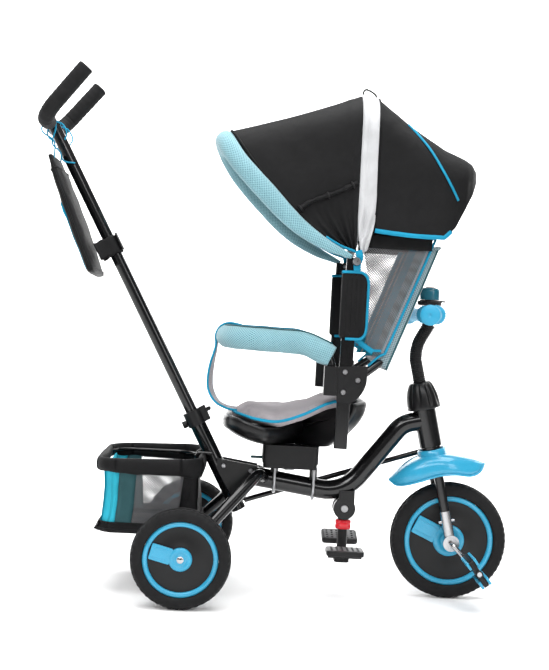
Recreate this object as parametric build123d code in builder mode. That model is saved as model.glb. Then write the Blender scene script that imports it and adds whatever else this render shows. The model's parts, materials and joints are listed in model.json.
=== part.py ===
from build123d import *
import os
from math import atan2, cos, degrees, radians, sin

# A children's tricycle with a parent steering handle, a swivelling seat that faces
# the parent, a folding canopy, a lift-off safety bar, a folding footrest, a basket
# and a bell. Millimetres, +X is the way the tricycle rolls, +Y its left side, +Z up.
# The origin is on the floor, under the middle of the whole tricycle.

os.makedirs("parts", exist_ok=True)

# ---------------------------------------------------------------- driving sizes
REAR_AXLE_X = -174.85     # the rear axle lies this far from the origin
WHEELBASE = 574.0
REAR_R = 102.0            # 8 inch rear wheels
FRONT_R = 127.0           # 10 inch front wheel
HALF_TRACK = 210.0        # middle of the tricycle to the middle of a rear wheel
TYRE_HALF = 21.0          # half the width of a tyre
RIM_HALF = 12.0           # half the thickness of a wheel's disc
TRIM_DEPTH = 6.0          # thickness of the coloured ring on a wheel
AXLE_R = 6.0
CRANK_R = 5.0
RUNNING = 0.05            # radial clearance of a shaft in its hole
GAP = 0.5                 # air between pieces that move past each other

HEAD_TILT = 13.2          # steering axis, degrees back from vertical
HEAD_LOW = 209.5          # head tube's ends, measured up the steering axis
HEAD_HIGH = 292.0         # from the front axle
HEAD_R = 25.0
STEERER_R = 12.5
LEG_Y = 37.0              # fork legs, from the middle of the tricycle
LEG_R = 10.5
LINK_Y = 51.0             # steering rod, from the middle of the tricycle

HANDLE_TILT = 28.6        # parent handle, degrees back from vertical
HANDLE_FOOT = (102.6, 191.0)   # foot of the handle socket: ahead of the rear axle, height
SOCKET_R = 17.5
SHAFT_R = 15.5
HANDLE_R = 13.0
SOCKET_LENGTH = 183.0
HANDLE_TOP = 985.0        # height of the bar across the top of the handle
HORN_Y = 112.0
HORN_R = 12.0
FOAM_R = 17.0

BACKBONE_R = 21.0
SEAT_X = 218.0            # seat's swivel axis, ahead of the rear axle
POST_Y = 138.0            # middle of a seat post, from the middle of the seat
POST_SIZE = (28.0, 12.0)
CANOPY_PIVOT = (327.0, 718.0)
RECLINE_PIVOT = (343.0, 474.0)
FOOT_PIVOT = (342.0, 187.0)
BAR_SOCKET_X = 287.0
BAR_R = 9.0
PAD_R = 25.0


# ---------------------------------------------------------------- places
def at(x, y, z):
    """A point x ahead of the rear axle, y to the left and z above the floor."""
    return (REAR_AXLE_X + x, y, z)


def side(y=0.0):
    """A plane seen from the tricycle's right: x ahead of the rear axle, z above the floor."""
    return Plane(origin=at(0, y, 0), x_dir=(1, 0, 0), z_dir=(0, -1, 0))


def level(z):
    """A level plane, with its x measured from the rear axle."""
    return Plane(origin=at(0, 0, z), x_dir=(1, 0, 0), z_dir=(0, 0, 1))


def across(x, y=0.0, z=0.0):
    """A plane that faces forward, with y and z as its own directions."""
    return Plane(origin=at(x, y, z), x_dir=(0, 1, 0), z_dir=(1, 0, 0))


def tilted(foot_x, foot_z, tilt, along=0.0):
    """A plane square to an axis that leans back by tilt and rises from its foot."""
    up = Vector(-sin(radians(tilt)), 0, cos(radians(tilt)))
    origin = Vector(*at(foot_x, 0, foot_z)) + up * along
    return Plane(origin=origin, x_dir=(cos(radians(tilt)), 0, sin(radians(tilt))), z_dir=up)


def steering(along):
    """Square to the steering axis, this far up it from the front axle."""
    return tilted(WHEELBASE, FRONT_R, HEAD_TILT, along)


def steering_point(forward, y, along):
    """A point given ahead of, to the left of and up the steering axis."""
    return tuple(steering(along).from_local_coords(Vector(forward, y, 0)))


def handle(along):
    """Square to the parent handle, this far up it from the foot of its socket."""
    return tilted(HANDLE_FOOT[0], HANDLE_FOOT[1], HANDLE_TILT, along)


def handle_point(forward, y, along):
    """A point given ahead of, to the left of and up the parent handle."""
    return tuple(handle(along).from_local_coords(Vector(forward, y, 0)))


def handle_length(z):
    """How far up the parent handle the height z is reached."""
    return (z - HANDLE_FOOT[1]) / cos(radians(HANDLE_TILT))


def keep(builder, name):
    """Label a finished piece and write it to its own file."""
    builder.part.label = name
    export_step(builder.part, f"parts/{name}.step")


def bent_tube(points, bends, radius, bore=0.0):
    """A round tube or rod along straight runs joined by tangent arcs."""
    with BuildPart() as tube:
        with BuildLine() as route:
            FilletPolyline(*points, radius=bends)
        with BuildSketch(Plane(origin=route.line @ 0, z_dir=route.line % 0)):
            Circle(radius)
            if bore:
                Circle(bore, mode=Mode.SUBTRACT)
        sweep()
    return tube


def straight_tube(start, end, radius, bore=0.0):
    """A straight round tube or rod between two points."""
    with BuildPart() as tube:
        length = (Vector(*end) - Vector(*start)).length
        with BuildSketch(Plane(origin=start, z_dir=Vector(*end) - Vector(*start))):
            Circle(radius)
            if bore:
                Circle(bore, mode=Mode.SUBTRACT)
        extrude(amount=length)
    return tube


# ---------------------------------------------------------------- wheels
def wheel_plane(x, y, z):
    """A plane through a wheel's axis: its x runs along the axle, its y is the radius."""
    return Plane(origin=at(x, y, z), x_dir=(0, 1, 0), z_dir=(1, 0, 0))


def tyre(x, y, radius, seat_radius):
    """A solid foam tyre with round shoulders and two shallow grooves."""
    with BuildPart() as ring:
        with BuildSketch(wheel_plane(x, y, radius)) as section:
            with Locations((0, (radius + seat_radius) / 2)):
                Rectangle(2 * TYRE_HALF, radius - seat_radius)
            fillet(section.vertices().group_by(Axis.Y)[-1], radius=11)
            with Locations((-7, radius), (7, radius)):
                Rectangle(3, 4, mode=Mode.SUBTRACT)
        revolve(axis=Axis(at(x, y, radius), (0, 1, 0)))
    return ring


def rim(x, y, radius, seat_radius, bore):
    """The wheel's disc, with a lip round its edge on both sides."""
    with BuildPart() as disc:
        with BuildSketch(side(y)):
            with Locations((x, radius)):
                Circle(seat_radius)
                Circle(bore, mode=Mode.SUBTRACT)
        extrude(amount=RIM_HALF, both=True)
    return disc


def trim(x, y, radius, ring, hub, spoke, sides):
    """Coloured ring, single broad spoke and hub cover, on one or both faces of a wheel."""
    with BuildPart() as cover:
        for outward in sides:
            with BuildSketch(side(y + outward * RIM_HALF)) as face:
                with Locations((x, radius)):
                    Circle(ring[0])
                    Circle(ring[1], mode=Mode.SUBTRACT)
                    with Locations(Rotation(0, 0, spoke[1])):
                        with Locations((ring[1] / 2, 0)):
                            Rectangle(ring[1] + 4, spoke[0])
                    Circle(hub[0])
                    Circle(hub[1], mode=Mode.SUBTRACT)
            extrude(amount=-outward * TRIM_DEPTH)
    return cover


REAR_SEAT_R = 77.0
FRONT_SEAT_R = 98.0
REAR_SPOKE = (33.0, 165.5)      # width, and its direction in degrees
FRONT_SPOKE = (41.0, 155.0)

for hand, y in (("left", HALF_TRACK), ("right", -HALF_TRACK)):
    keep(tyre(0, y, REAR_R, REAR_SEAT_R), f"rear_tyre_{hand}")
    keep(rim(0, y, REAR_R, REAR_SEAT_R, AXLE_R + RUNNING), f"rear_rim_{hand}")
    keep(trim(0, y, REAR_R, (REAR_SEAT_R, 66), (24, 12), REAR_SPOKE, (-1, 1)), f"rear_trim_{hand}")

keep(tyre(WHEELBASE, 0, FRONT_R, FRONT_SEAT_R), "front_tyre")
keep(rim(WHEELBASE, 0, FRONT_R, FRONT_SEAT_R, CRANK_R), "front_rim")
keep(trim(WHEELBASE, 0, FRONT_R, (FRONT_SEAT_R, 86), (34, CRANK_R + 1), FRONT_SPOKE, (-1, 1)),
     "front_trim")

# One bent rod is the front axle, both crank arms and both pedal spindles.
CRANK_LENGTH = 60.0
CRANK_ANGLE = -44.5
CRANK_ARM_Y = 68.0
PEDAL_MIDDLE_Y = 115.0
PEDAL_HALF = 36.0
CRANK_REACH = (CRANK_LENGTH * cos(radians(CRANK_ANGLE)), CRANK_LENGTH * sin(radians(CRANK_ANGLE)))
SPINDLE_END_Y = PEDAL_MIDDLE_Y + PEDAL_HALF + 3

right_spindle = (WHEELBASE + CRANK_REACH[0], FRONT_R + CRANK_REACH[1])
left_spindle = (WHEELBASE - CRANK_REACH[0], FRONT_R - CRANK_REACH[1])
crank = bent_tube(
    [
        at(right_spindle[0], -SPINDLE_END_Y, right_spindle[1]),
        at(right_spindle[0], -CRANK_ARM_Y, right_spindle[1]),
        at(WHEELBASE, -CRANK_ARM_Y, FRONT_R),
        at(WHEELBASE, CRANK_ARM_Y, FRONT_R),
        at(left_spindle[0], CRANK_ARM_Y, left_spindle[1]),
        at(left_spindle[0], SPINDLE_END_Y, left_spindle[1]),
    ],
    8.0,
    CRANK_R,
)
keep(crank, "crank")


def pedal(spindle, y):
    """A block pedal on its spindle: a slim body with a tread bar at each of its four edges."""
    tilt = Rotation(0, 0, CRANK_ANGLE - 9)
    with BuildPart() as block:
        with BuildSketch(side(y)) as body:
            with Locations(spindle):
                with Locations(tilt):
                    RectangleRounded(66, 13, 4)
                Circle(9)
                Circle(CRANK_R + RUNNING, mode=Mode.SUBTRACT)
        extrude(amount=PEDAL_HALF, both=True)
        with BuildSketch(side(y)) as treads:
            with Locations(spindle):
                with Locations(tilt):
                    with GridLocations(46, 19, 2, 2):
                        RectangleRounded(20, 6, 1.5)
        extrude(amount=PEDAL_HALF, both=True)
    return block


keep(pedal(left_spindle, PEDAL_MIDDLE_Y), "pedal_left")
keep(pedal(right_spindle, -PEDAL_MIDDLE_Y), "pedal_right")

# ---------------------------------------------------------------- frame
BACKBONE_DIP = (340, 217)
BACKBONE_CREST = (461, 376)
BACKBONE_START = (50, 259.3)
BACKBONE_END = (506, 386)


def backbone(radius, bore=0.0):
    """The main tube: level under the seat, then up and over to the head tube."""
    points = [at(x, 0, z) for x, z in (BACKBONE_START, BACKBONE_DIP, BACKBONE_CREST, BACKBONE_END)]
    return bent_tube(points, [90.0, 52.0], radius, bore)


def backbone_middle(x):
    """Height of the main tube's middle in its level stretch under the seat."""
    slope = (BACKBONE_DIP[1] - BACKBONE_START[1]) / (BACKBONE_DIP[0] - BACKBONE_START[0])
    return BACKBONE_START[1] + slope * (x - BACKBONE_START[0])


backbone_solid = backbone(BACKBONE_R)
handle_socket_solid = straight_tube(handle_point(0, 0, 0), handle_point(0, 0, SOCKET_LENGTH), SOCKET_R)
head_tube_solid = straight_tube(
    steering_point(0, 0, HEAD_LOW), steering_point(0, 0, HEAD_HIGH), HEAD_R
)

with BuildPart() as backbone_tube:
    add(backbone(BACKBONE_R, BACKBONE_R - 2).part)
    add(handle_socket_solid.part, mode=Mode.SUBTRACT)
    with BuildSketch(Plane(origin=handle_point(-60, 0, -40), z_dir=handle(0).z_dir)):
        Rectangle(120, 60)
    extrude(amount=260, mode=Mode.SUBTRACT)
    add(head_tube_solid.part, mode=Mode.SUBTRACT)
    with BuildSketch(Plane(origin=steering_point(60, 0, 150), z_dir=steering(0).z_dir)):
        Rectangle(120, 60)
    extrude(amount=200, mode=Mode.SUBTRACT)
keep(backbone_tube, "backbone_tube")

BUSH_R = 19.0
BUSH_LENGTH = 22.0
head_tube = straight_tube(
    steering_point(0, 0, HEAD_LOW), steering_point(0, 0, HEAD_HIGH), HEAD_R, BUSH_R
)
keep(head_tube, "head_tube")

with BuildPart() as head_bushes:
    for low in (HEAD_LOW, HEAD_HIGH - BUSH_LENGTH):
        with BuildSketch(steering(low)):
            Circle(BUSH_R)
            Circle(STEERER_R + RUNNING, mode=Mode.SUBTRACT)
        extrude(amount=BUSH_LENGTH)
keep(head_bushes, "head_bushes")

keep(
    straight_tube(
        handle_point(0, 0, 0), handle_point(0, 0, SOCKET_LENGTH), SOCKET_R, SHAFT_R + RUNNING
    ),
    "handle_socket",
)

# Rear frame: the axle tube and the two stays that come down to it from the main tube.
AXLE_TUBE_R = 11.0
AXLE_TUBE_HALF = HALF_TRACK - RIM_HALF - GAP
STAY_R = 12.5
with BuildPart() as rear_frame:
    add(straight_tube(at(0, -AXLE_TUBE_HALF, REAR_R), at(0, AXLE_TUBE_HALF, REAR_R), AXLE_TUBE_R).part)
    for hand in (-1, 1):
        stay_route = [
            at(167, hand * 4, backbone_middle(167)),
            at(150, hand * 46, 257),
            at(4, hand * 168, REAR_R + 2),
        ]
        add(bent_tube(stay_route, 24.0, STAY_R).part)
    add(backbone_solid.part, mode=Mode.SUBTRACT)
    for hand in (-1, 1):
        start = Vector(*at(150, hand * 46, 257))
        end = Vector(*at(4, hand * 168, REAR_R + 2))
        hollow_start = start + (end - start) * 0.2
        hollow_end = start + (end - start) * 0.85
        add(straight_tube(tuple(hollow_start), tuple(hollow_end), STAY_R - 2).part, mode=Mode.SUBTRACT)
    with BuildSketch(side(AXLE_TUBE_HALF)):
        with Locations((0, REAR_R)):
            Circle(AXLE_R)
    extrude(amount=2 * AXLE_TUBE_HALF, mode=Mode.SUBTRACT)
keep(rear_frame, "rear_frame")

# The rear axle, with a domed nut at each end.
AXLE_END = HALF_TRACK + RIM_HALF + GAP
with BuildPart() as rear_axle:
    add(straight_tube(at(0, -AXLE_END, REAR_R), at(0, AXLE_END, REAR_R), AXLE_R).part)
    for hand in (-1, 1):
        with BuildSketch(side(hand * AXLE_END)):
            with Locations((0, REAR_R)):
                Circle(10)
        extrude(amount=-hand * 5, taper=12)
keep(rear_axle, "rear_axle")

# Bracing plates each side of the joint between socket and main tube, and the
# footrest's hinge bracket under the main tube.
GUSSET_T = 3.0
GUSSET_HOLES = [(75, 268), (134, 260), (112, 214)]
FOOT_DISC_R = 24.0
FOOT_TONGUE_HALF = 8.0
FOOT_BRACKET_HALF = 22.0
FOOT_PIN_R = 4.0
with BuildPart() as frame_brackets:
    for hand in (-1, 1):
        with BuildSketch(side(hand * BACKBONE_R)):
            with BuildLine():
                Polyline((60, 284), (149, 271), (141, 226), (120, 194), (98, 198), (60, 262), close=True)
            make_face()
            with Locations(*GUSSET_HOLES):
                Circle(2.5, mode=Mode.SUBTRACT)
        extrude(amount=-hand * GUSSET_T)
    with BuildSketch(side(0)) as bracket_face:
        with Locations(FOOT_PIVOT):
            Circle(FOOT_DISC_R)
        with Locations((FOOT_PIVOT[0] + 4, 206)):
            Rectangle(34, 40)
    extrude(amount=FOOT_BRACKET_HALF, both=True)
    with BuildSketch(side(0)):
        with Locations(FOOT_PIVOT):
            Circle(FOOT_DISC_R + 2)
        with Locations((FOOT_PIVOT[0] - 30, 170)):
            Rectangle(100, 74)
    extrude(amount=FOOT_TONGUE_HALF + GAP, both=True, mode=Mode.SUBTRACT)
    with BuildSketch(side(0)):
        with Locations(FOOT_PIVOT):
            Circle(FOOT_PIN_R)
    extrude(amount=FOOT_BRACKET_HALF, both=True, mode=Mode.SUBTRACT)
    add(backbone_solid.part, mode=Mode.SUBTRACT)
keep(frame_brackets, "frame_brackets")

# Seat mount: a plate on two saddles, held down by two U-bolts round the main tube.
MOUNT_LOW, MOUNT_HIGH = 271.0, 282.0
MOUNT_X = (SEAT_X - 59, SEAT_X + 59)
UBOLT_X = (SEAT_X - 32, SEAT_X + 53)
UBOLT_R = 3.5
UBOLT_Y = BACKBONE_R + UBOLT_R + 0.5
KINGPIN_R = 8.0
with BuildPart() as seat_mount:
    with BuildSketch(level(MOUNT_LOW)):
        with Locations((SEAT_X, 0)):
            RectangleRounded(116, 100, 10)
    extrude(amount=MOUNT_HIGH - MOUNT_LOW)
    for x in UBOLT_X:
        with BuildSketch(level(backbone_middle(x))):
            with Locations((x, 0)):
                Rectangle(16, 24)
        extrude(amount=MOUNT_LOW - backbone_middle(x))
    add(backbone_solid.part, mode=Mode.SUBTRACT)
    with BuildSketch(level(MOUNT_LOW)):
        with Locations((SEAT_X, 0)):
            Circle(KINGPIN_R)
        for x in UBOLT_X:
            with Locations((x, UBOLT_Y), (x, -UBOLT_Y)):
                Circle(UBOLT_R)
    extrude(amount=MOUNT_HIGH - MOUNT_LOW, mode=Mode.SUBTRACT)
keep(seat_mount, "seat_mount")

# Bolts of the frame: the plates' screws, the seat's U-bolts and king pin.
KINGPIN_TOP = 312.0
with BuildPart() as frame_bolts:
    for hand in (-1, 1):
        with BuildSketch(side(hand * BACKBONE_R)):
            with Locations(*GUSSET_HOLES):
                Circle(2.5)
        extrude(amount=-hand * GUSSET_T)
        with BuildSketch(side(hand * (BACKBONE_R + GUSSET_T))):
            with Locations(*GUSSET_HOLES):
                Circle(5)
        extrude(amount=-hand * 3, taper=20)
    for x in UBOLT_X:
        low = backbone_middle(x) - UBOLT_Y
        corners = [
            at(x, -UBOLT_Y, MOUNT_HIGH),
            at(x, -UBOLT_Y, low),
            at(x, UBOLT_Y, low),
            at(x, UBOLT_Y, MOUNT_HIGH),
        ]
        add(bent_tube(corners, UBOLT_Y - 0.1, UBOLT_R).part)
    with BuildSketch(level(MOUNT_LOW - 8)):
        with Locations((SEAT_X, 0)):
            RegularPolygon(12, 6)
    extrude(amount=8)
    with BuildSketch(level(MOUNT_LOW)):
        with Locations((SEAT_X, 0)):
            Circle(KINGPIN_R)
    extrude(amount=KINGPIN_TOP - MOUNT_LOW)
    with BuildSketch(side(0)):
        with Locations(FOOT_PIVOT):
            Circle(FOOT_PIN_R)
    extrude(amount=FOOT_BRACKET_HALF, both=True)
    for hand in (-1, 1):
        with BuildSketch(side(hand * FOOT_BRACKET_HALF)):
            with Locations(FOOT_PIVOT):
                Circle(8)
        extrude(amount=-hand * 3, taper=15)
keep(frame_bolts, "frame_bolts")

# ---------------------------------------------------------------- basket
BASKET_REAR, BASKET_FRONT = -192.0, 26.0
BASKET_LOW, BASKET_HIGH = 131.0, 283.0
BASKET_HALF = 150.0
BASKET_WALL = 3.0


def basket_section(z, inset):
    """A level outline of the basket, inset from its cloth; the basket narrows downwards."""
    low = (BASKET_HIGH - z) / (BASKET_HIGH - BASKET_LOW)
    rear = BASKET_REAR + 8 * low + inset
    front = BASKET_FRONT - 26 * low - inset
    half = BASKET_HALF - 26 * low - inset
    with BuildSketch(level(z)) as outline:
        with Locations(((rear + front) / 2, 0)):
            RectangleRounded(front - rear, 2 * half, 70 - inset - 24 * low)
    return outline.sketch


with BuildPart() as basket_cloth:
    loft([basket_section(BASKET_LOW, 0), basket_section(BASKET_HIGH, 0)])
    loft(
        [
            basket_section(BASKET_LOW + BASKET_WALL, BASKET_WALL),
            basket_section(BASKET_HIGH + 1, BASKET_WALL),
        ],
        mode=Mode.SUBTRACT,
    )
keep(basket_cloth, "basket_cloth")

# Wire rim inside the basket's top edge, with two arms that reach past the socket tube.
RIM_WIRE_R = 4.0
RIM_Z = BASKET_HIGH - 8
HOOK_Y = SOCKET_R + RIM_WIRE_R
HOOK_END_X = 49.0
rim_inset = BASKET_WALL + RIM_WIRE_R + 3
rim_half = ((BASKET_FRONT - BASKET_REAR) / 2 - rim_inset, BASKET_HALF - rim_inset)
rim_middle = (BASKET_REAR + BASKET_FRONT) / 2
with BuildSketch(level(RIM_Z)) as rim_outline:
    with Locations((rim_middle, 0)):
        RectangleRounded(2 * rim_half[0], 2 * rim_half[1], 57)
rim_route = rim_outline.sketch.faces()[0].outer_wire()
with BuildPart() as basket_rim:
    with BuildSketch(Plane(origin=rim_route @ 0, z_dir=rim_route % 0)):
        Circle(RIM_WIRE_R)
    sweep(path=rim_route)
    for y in (-HOOK_Y, HOOK_Y):
        start = at(rim_middle + rim_half[0], y, RIM_Z)
        top = at(rim_middle + rim_half[0], y, BASKET_HIGH + 10)
        over = at(HOOK_END_X, y, BASKET_HIGH + 10)
        add(bent_tube([start, top, over], 8.0, RIM_WIRE_R).part)
keep(basket_rim, "basket_rim")

# ---------------------------------------------------------------- fork and handlebar
LEG_TOP = 178.0
CROWN_T = 10.0
SLEEVE_TOP = 70.0
SLEEVE_R = 11.5
ARM_LOW, ARM_HIGH = 203.0, 208.0
LINK_PIN_R = 3.0
with BuildPart() as fork:
    for y in (-LEG_Y, LEG_Y):
        add(straight_tube(steering_point(0, y, SLEEVE_TOP), steering_point(0, y, LEG_TOP), LEG_R).part)
    with BuildSketch(steering(LEG_TOP - CROWN_T)):
        RectangleRounded(24, 2 * LEG_Y + 22, 10)
    extrude(amount=CROWN_T)
    with BuildSketch(steering(LEG_TOP - CROWN_T)):
        Circle(STEERER_R)
    extrude(amount=HEAD_HIGH - LEG_TOP + CROWN_T)
    with BuildSketch(steering(ARM_LOW)):
        Circle(22)
        with Locations((0, LINK_Y / 2)):
            Rectangle(18, LINK_Y)
        with Locations((0, LINK_Y)):
            Circle(9)
    extrude(amount=ARM_HIGH - ARM_LOW)
    with BuildSketch(steering(ARM_LOW - 20)):
        with Locations((0, LINK_Y)):
            Circle(LINK_PIN_R)
    extrude(amount=20)
keep(fork, "fork")

# Bright fork ends: a sleeve on each leg, a flange over the axle hole and a cross bolt.
FLANGE_R = 17.5
FLANGE_T = 5.0
with BuildPart() as fork_ends:
    for hand in (-1, 1):
        y = hand * LEG_Y
        add(straight_tube(steering_point(0, y, 0), steering_point(0, y, SLEEVE_TOP), SLEEVE_R).part)
        with BuildSketch(side(y)):
            with Locations((WHEELBASE, FRONT_R)):
                Circle(FLANGE_R - 4)
        extrude(amount=SLEEVE_R - 1, both=True)
        with BuildSketch(side(hand * (LEG_Y + SLEEVE_R - FLANGE_T))):
            with Locations((WHEELBASE, FRONT_R)):
                Circle(FLANGE_R)
        extrude(amount=-hand * (FLANGE_T + 1.5))
        add(straight_tube(steering_point(-17, y, 47), steering_point(17, y, 47), 3.5).part)
    with BuildSketch(side(0)):
        with Locations((WHEELBASE, FRONT_R)):
            Circle(CRANK_R + RUNNING)
    extrude(amount=80, both=True, mode=Mode.SUBTRACT)
keep(fork_ends, "fork_ends")

# Mudguard: a hood over the wheel with flared tips and a collar under the head tube.
GUARD_HALF = 50.0
GUARD_WALL = 2.5
GUARD_OUTLINE = [
    (438, 257), (462, 282), (488, 299), (497, 316), (559, 330.5), (575, 314), (612, 309), (646, 300),
    (634, 280), (612, 273), (575, 277), (537, 272), (500, 258), (470, 244), (452, 244),
]
GUARD_INSIDE = [
    (446, 230), (464, 270), (494, 293), (504, 311), (553, 323), (570, 306), (612, 300),
    (638, 288), (640, 230),
]
GUARD_FRONT = [(50, 262), (42, 282), (29, 300), (29, 345)]


def guard_front(inset):
    """The mudguard seen from ahead: wide over the wheel, narrow at its collar."""
    right = [(y - inset, z) for y, z in GUARD_FRONT]
    left = [(-y, z) for y, z in right[::-1]]
    with BuildSketch(across(400)) as outline:
        with BuildLine():
            Polyline((GUARD_HALF - inset, 220), *right, *left, (inset - GUARD_HALF, 220), close=True)
        make_face()
    return outline.sketch


with BuildPart() as guard_hollow:
    with BuildSketch(side(0)):
        with BuildLine():
            Polyline(*GUARD_INSIDE, close=True)
        make_face()
    extrude(amount=GUARD_HALF, both=True)
    extrude(guard_front(GUARD_WALL), amount=300, mode=Mode.INTERSECT)

with BuildPart() as mudguard:
    with BuildSketch(side(0)):
        with BuildLine():
            Polyline(*GUARD_OUTLINE, close=True)
        make_face()
    extrude(amount=GUARD_HALF, both=True)
    extrude(guard_front(0), amount=300, mode=Mode.INTERSECT)
    add(guard_hollow.part, mode=Mode.SUBTRACT)
    with BuildSketch(steering(140)):
        Rectangle(26, 2 * LEG_Y + 30)
        Circle(23)
    extrude(amount=80, mode=Mode.SUBTRACT)
keep(mudguard, "mudguard")

# Fluted cover over the top of the head tube.
COVER_LOW = HEAD_HIGH + GAP
COVER_HIGH = 352.0
with BuildPart() as stem_cover:
    with BuildSketch(Plane(origin=steering(0).origin, x_dir=steering(0).x_dir, z_dir=(0, -1, 0))):
        with BuildLine():
            base = Line((13.1, COVER_LOW), (36, COVER_LOW))
            rise = Line(base @ 1, (35.5, COVER_LOW + 8))
            crown = ThreePointArc(rise @ 1, (31, COVER_LOW + 36), (21, COVER_HIGH))
            top = Line(crown @ 1, (13.1, COVER_HIGH))
            Line(top @ 1, base @ 0)
        make_face()
    revolve(axis=Axis(steering(0).origin, steering(0).z_dir))
    with BuildSketch(steering(COVER_LOW + 6)):
        with PolarLocations(40.5, 10):
            Circle(7)
    extrude(amount=COVER_HIGH - COVER_LOW, mode=Mode.SUBTRACT)
keep(stem_cover, "stem_cover")

# The handlebar: a stem that comes up through the cover and bends forward, and the bar on it.
STEM_R = 9.0
STEM_BEND = 424.0         # up the steering axis
BAR_MIDDLE = (520.0, 618.0)
BAR_INNER = (515.0, 60.0)
BAR_END = (484.0, 158.0)
stem_corner = Vector(*steering_point(0, 0, STEM_BEND))
stem_end = Vector(*at(BAR_MIDDLE[0], 0, BAR_MIDDLE[1]))
stem_route = [steering_point(0, 0, HEAD_HIGH), stem_corner, stem_end]
bar_height = BAR_MIDDLE[1]
bar_route = [
    at(BAR_END[0], -BAR_END[1], bar_height - 2),
    at(BAR_INNER[0], -BAR_INNER[1], bar_height),
    at(BAR_INNER[0], BAR_INNER[1], bar_height),
    at(BAR_END[0], BAR_END[1], bar_height - 2),
]
with BuildPart() as handlebar:
    add(bent_tube(stem_route, 62.0, STEM_R).part)
    add(bent_tube(bar_route, 40.0, STEM_R).part)
handlebar_solid = handlebar.part
with BuildPart() as handlebar:
    add(handlebar_solid)
    add(bent_tube(stem_route, 62.0, STEM_R - 2).part, mode=Mode.SUBTRACT)
    add(bent_tube(bar_route, 40.0, STEM_R - 2).part, mode=Mode.SUBTRACT)
keep(handlebar, "handlebar")

BELLOWS_R = 13.5
bellows_route = [
    steering_point(0, 0, COVER_HIGH + GAP),
    stem_corner,
    stem_corner + (stem_end - stem_corner) * 0.73,
]
stem_bellows = bent_tube(bellows_route, 62.0, BELLOWS_R, STEM_R)
keep(stem_bellows, "stem_bellows")

GRIP_R = 14.5
INNER_FLANGE_R = 21.0
END_FLANGE_R = 21.5
with BuildPart() as grips:
    for hand in (-1, 1):
        inner = Vector(*at(BAR_INNER[0] - 5, hand * (BAR_INNER[1] + 15), bar_height - 0.3))
        end = Vector(*at(BAR_END[0], hand * BAR_END[1], bar_height - 2))
        along = (end - inner).normalized()
        length = (end - inner).length
        with BuildSketch(Plane(origin=inner, z_dir=along)):
            Circle(GRIP_R)
        extrude(amount=length)
        with BuildSketch(Plane(origin=inner, z_dir=along)):
            Circle(INNER_FLANGE_R)
        extrude(amount=7)
        with BuildSketch(Plane(origin=end - along * 8, z_dir=along)):
            Circle(END_FLANGE_R)
        extrude(amount=14, taper=12)
    add(handlebar_solid, mode=Mode.SUBTRACT)
keep(grips, "grips")

# Bell, on a bracket that clips round the stem.
BELL_X = 506.0
BELL_BASE = (639.0, 650.0)
BELL_LEVER_PIVOT = (BELL_X + 22, -8)
with BuildPart() as bell_base:
    with BuildSketch(level(BELL_BASE[0])):
        with Locations((BELL_X, 0)):
            Circle(26)
        with Locations(BELL_LEVER_PIVOT):
            Circle(5)
    extrude(amount=BELL_BASE[1] - BELL_BASE[0] - 5)
    with BuildSketch(level(BELL_BASE[1] - 5)):
        with Locations((BELL_X, 0)):
            Circle(17)
    extrude(amount=5)
    with BuildSketch(level(BELL_BASE[1] - 5)):
        with Locations(BELL_LEVER_PIVOT):
            Circle(1.95)
    extrude(amount=4)
    with BuildSketch(level(BAR_MIDDLE[1])):
        with Locations((BELL_X + 6, 0)):
            RectangleRounded(26, 24, 5)
    extrude(amount=BELL_BASE[0] - BAR_MIDDLE[1])
    add(handlebar_solid, mode=Mode.SUBTRACT)
keep(bell_base, "bell_base")

with BuildPart() as bell_dome:
    with BuildSketch(level(BELL_BASE[1])):
        with Locations((BELL_X, 0)):
            Circle(21.5)
    extrude(amount=26)
    fillet(bell_dome.edges().group_by(Axis.Z)[-1], radius=9)
    with BuildSketch(level(BELL_BASE[1])):
        with Locations((BELL_X, 0)):
            Circle(19.5)
            Circle(5, mode=Mode.SUBTRACT)
    extrude(amount=22, mode=Mode.SUBTRACT)
    with BuildSketch(level(BELL_BASE[1] + 26)):
        with Locations((BELL_X, 0)):
            Circle(10)
    extrude(amount=2.5)
keep(bell_dome, "bell_dome")

with BuildPart() as bell_lever:
    with BuildSketch(level(BELL_BASE[1] - 4.5)) as lever_face:
        with Locations(BELL_LEVER_PIVOT):
            Circle(5)
        with BuildLine():
            Polyline((BELL_X + 20, -12), (BELL_X + 26, -11), (BELL_X + 36, 4), (BELL_X + 31, 8), close=True)
        make_face()
        with Locations(BELL_LEVER_PIVOT):
            Circle(2, mode=Mode.SUBTRACT)
    extrude(amount=4)
keep(bell_lever, "bell_lever")

# ---------------------------------------------------------------- parent handle
# The shaft turns in the socket and carries the crank arm that moves the steering rod.
# The handle tube telescopes in the shaft, held by the clamp.
SHAFT_TOP = SOCKET_LENGTH + 34
ARM_FOOT = -22.0
LINK_T = 4.0
with BuildPart() as handle_shaft:
    with BuildSketch(handle(ARM_FOOT)):
        Circle(SHAFT_R)
    extrude(amount=SHAFT_TOP - ARM_FOOT)
    with BuildSketch(handle(ARM_FOOT + 6)):
        Circle(HANDLE_R + RUNNING)
    extrude(amount=SHAFT_TOP - ARM_FOOT, mode=Mode.SUBTRACT)
    with BuildSketch(handle(ARM_FOOT)):
        with Locations((0, LINK_Y / 2)):
            Rectangle(20, LINK_Y)
        with Locations((0, LINK_Y)):
            Circle(10)
    extrude(amount=6)
    with BuildSketch(handle(ARM_FOOT + 6)):
        with Locations((0, LINK_Y)):
            Circle(LINK_PIN_R)
    extrude(amount=LINK_T + 3)
keep(handle_shaft, "handle_shaft")

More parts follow.
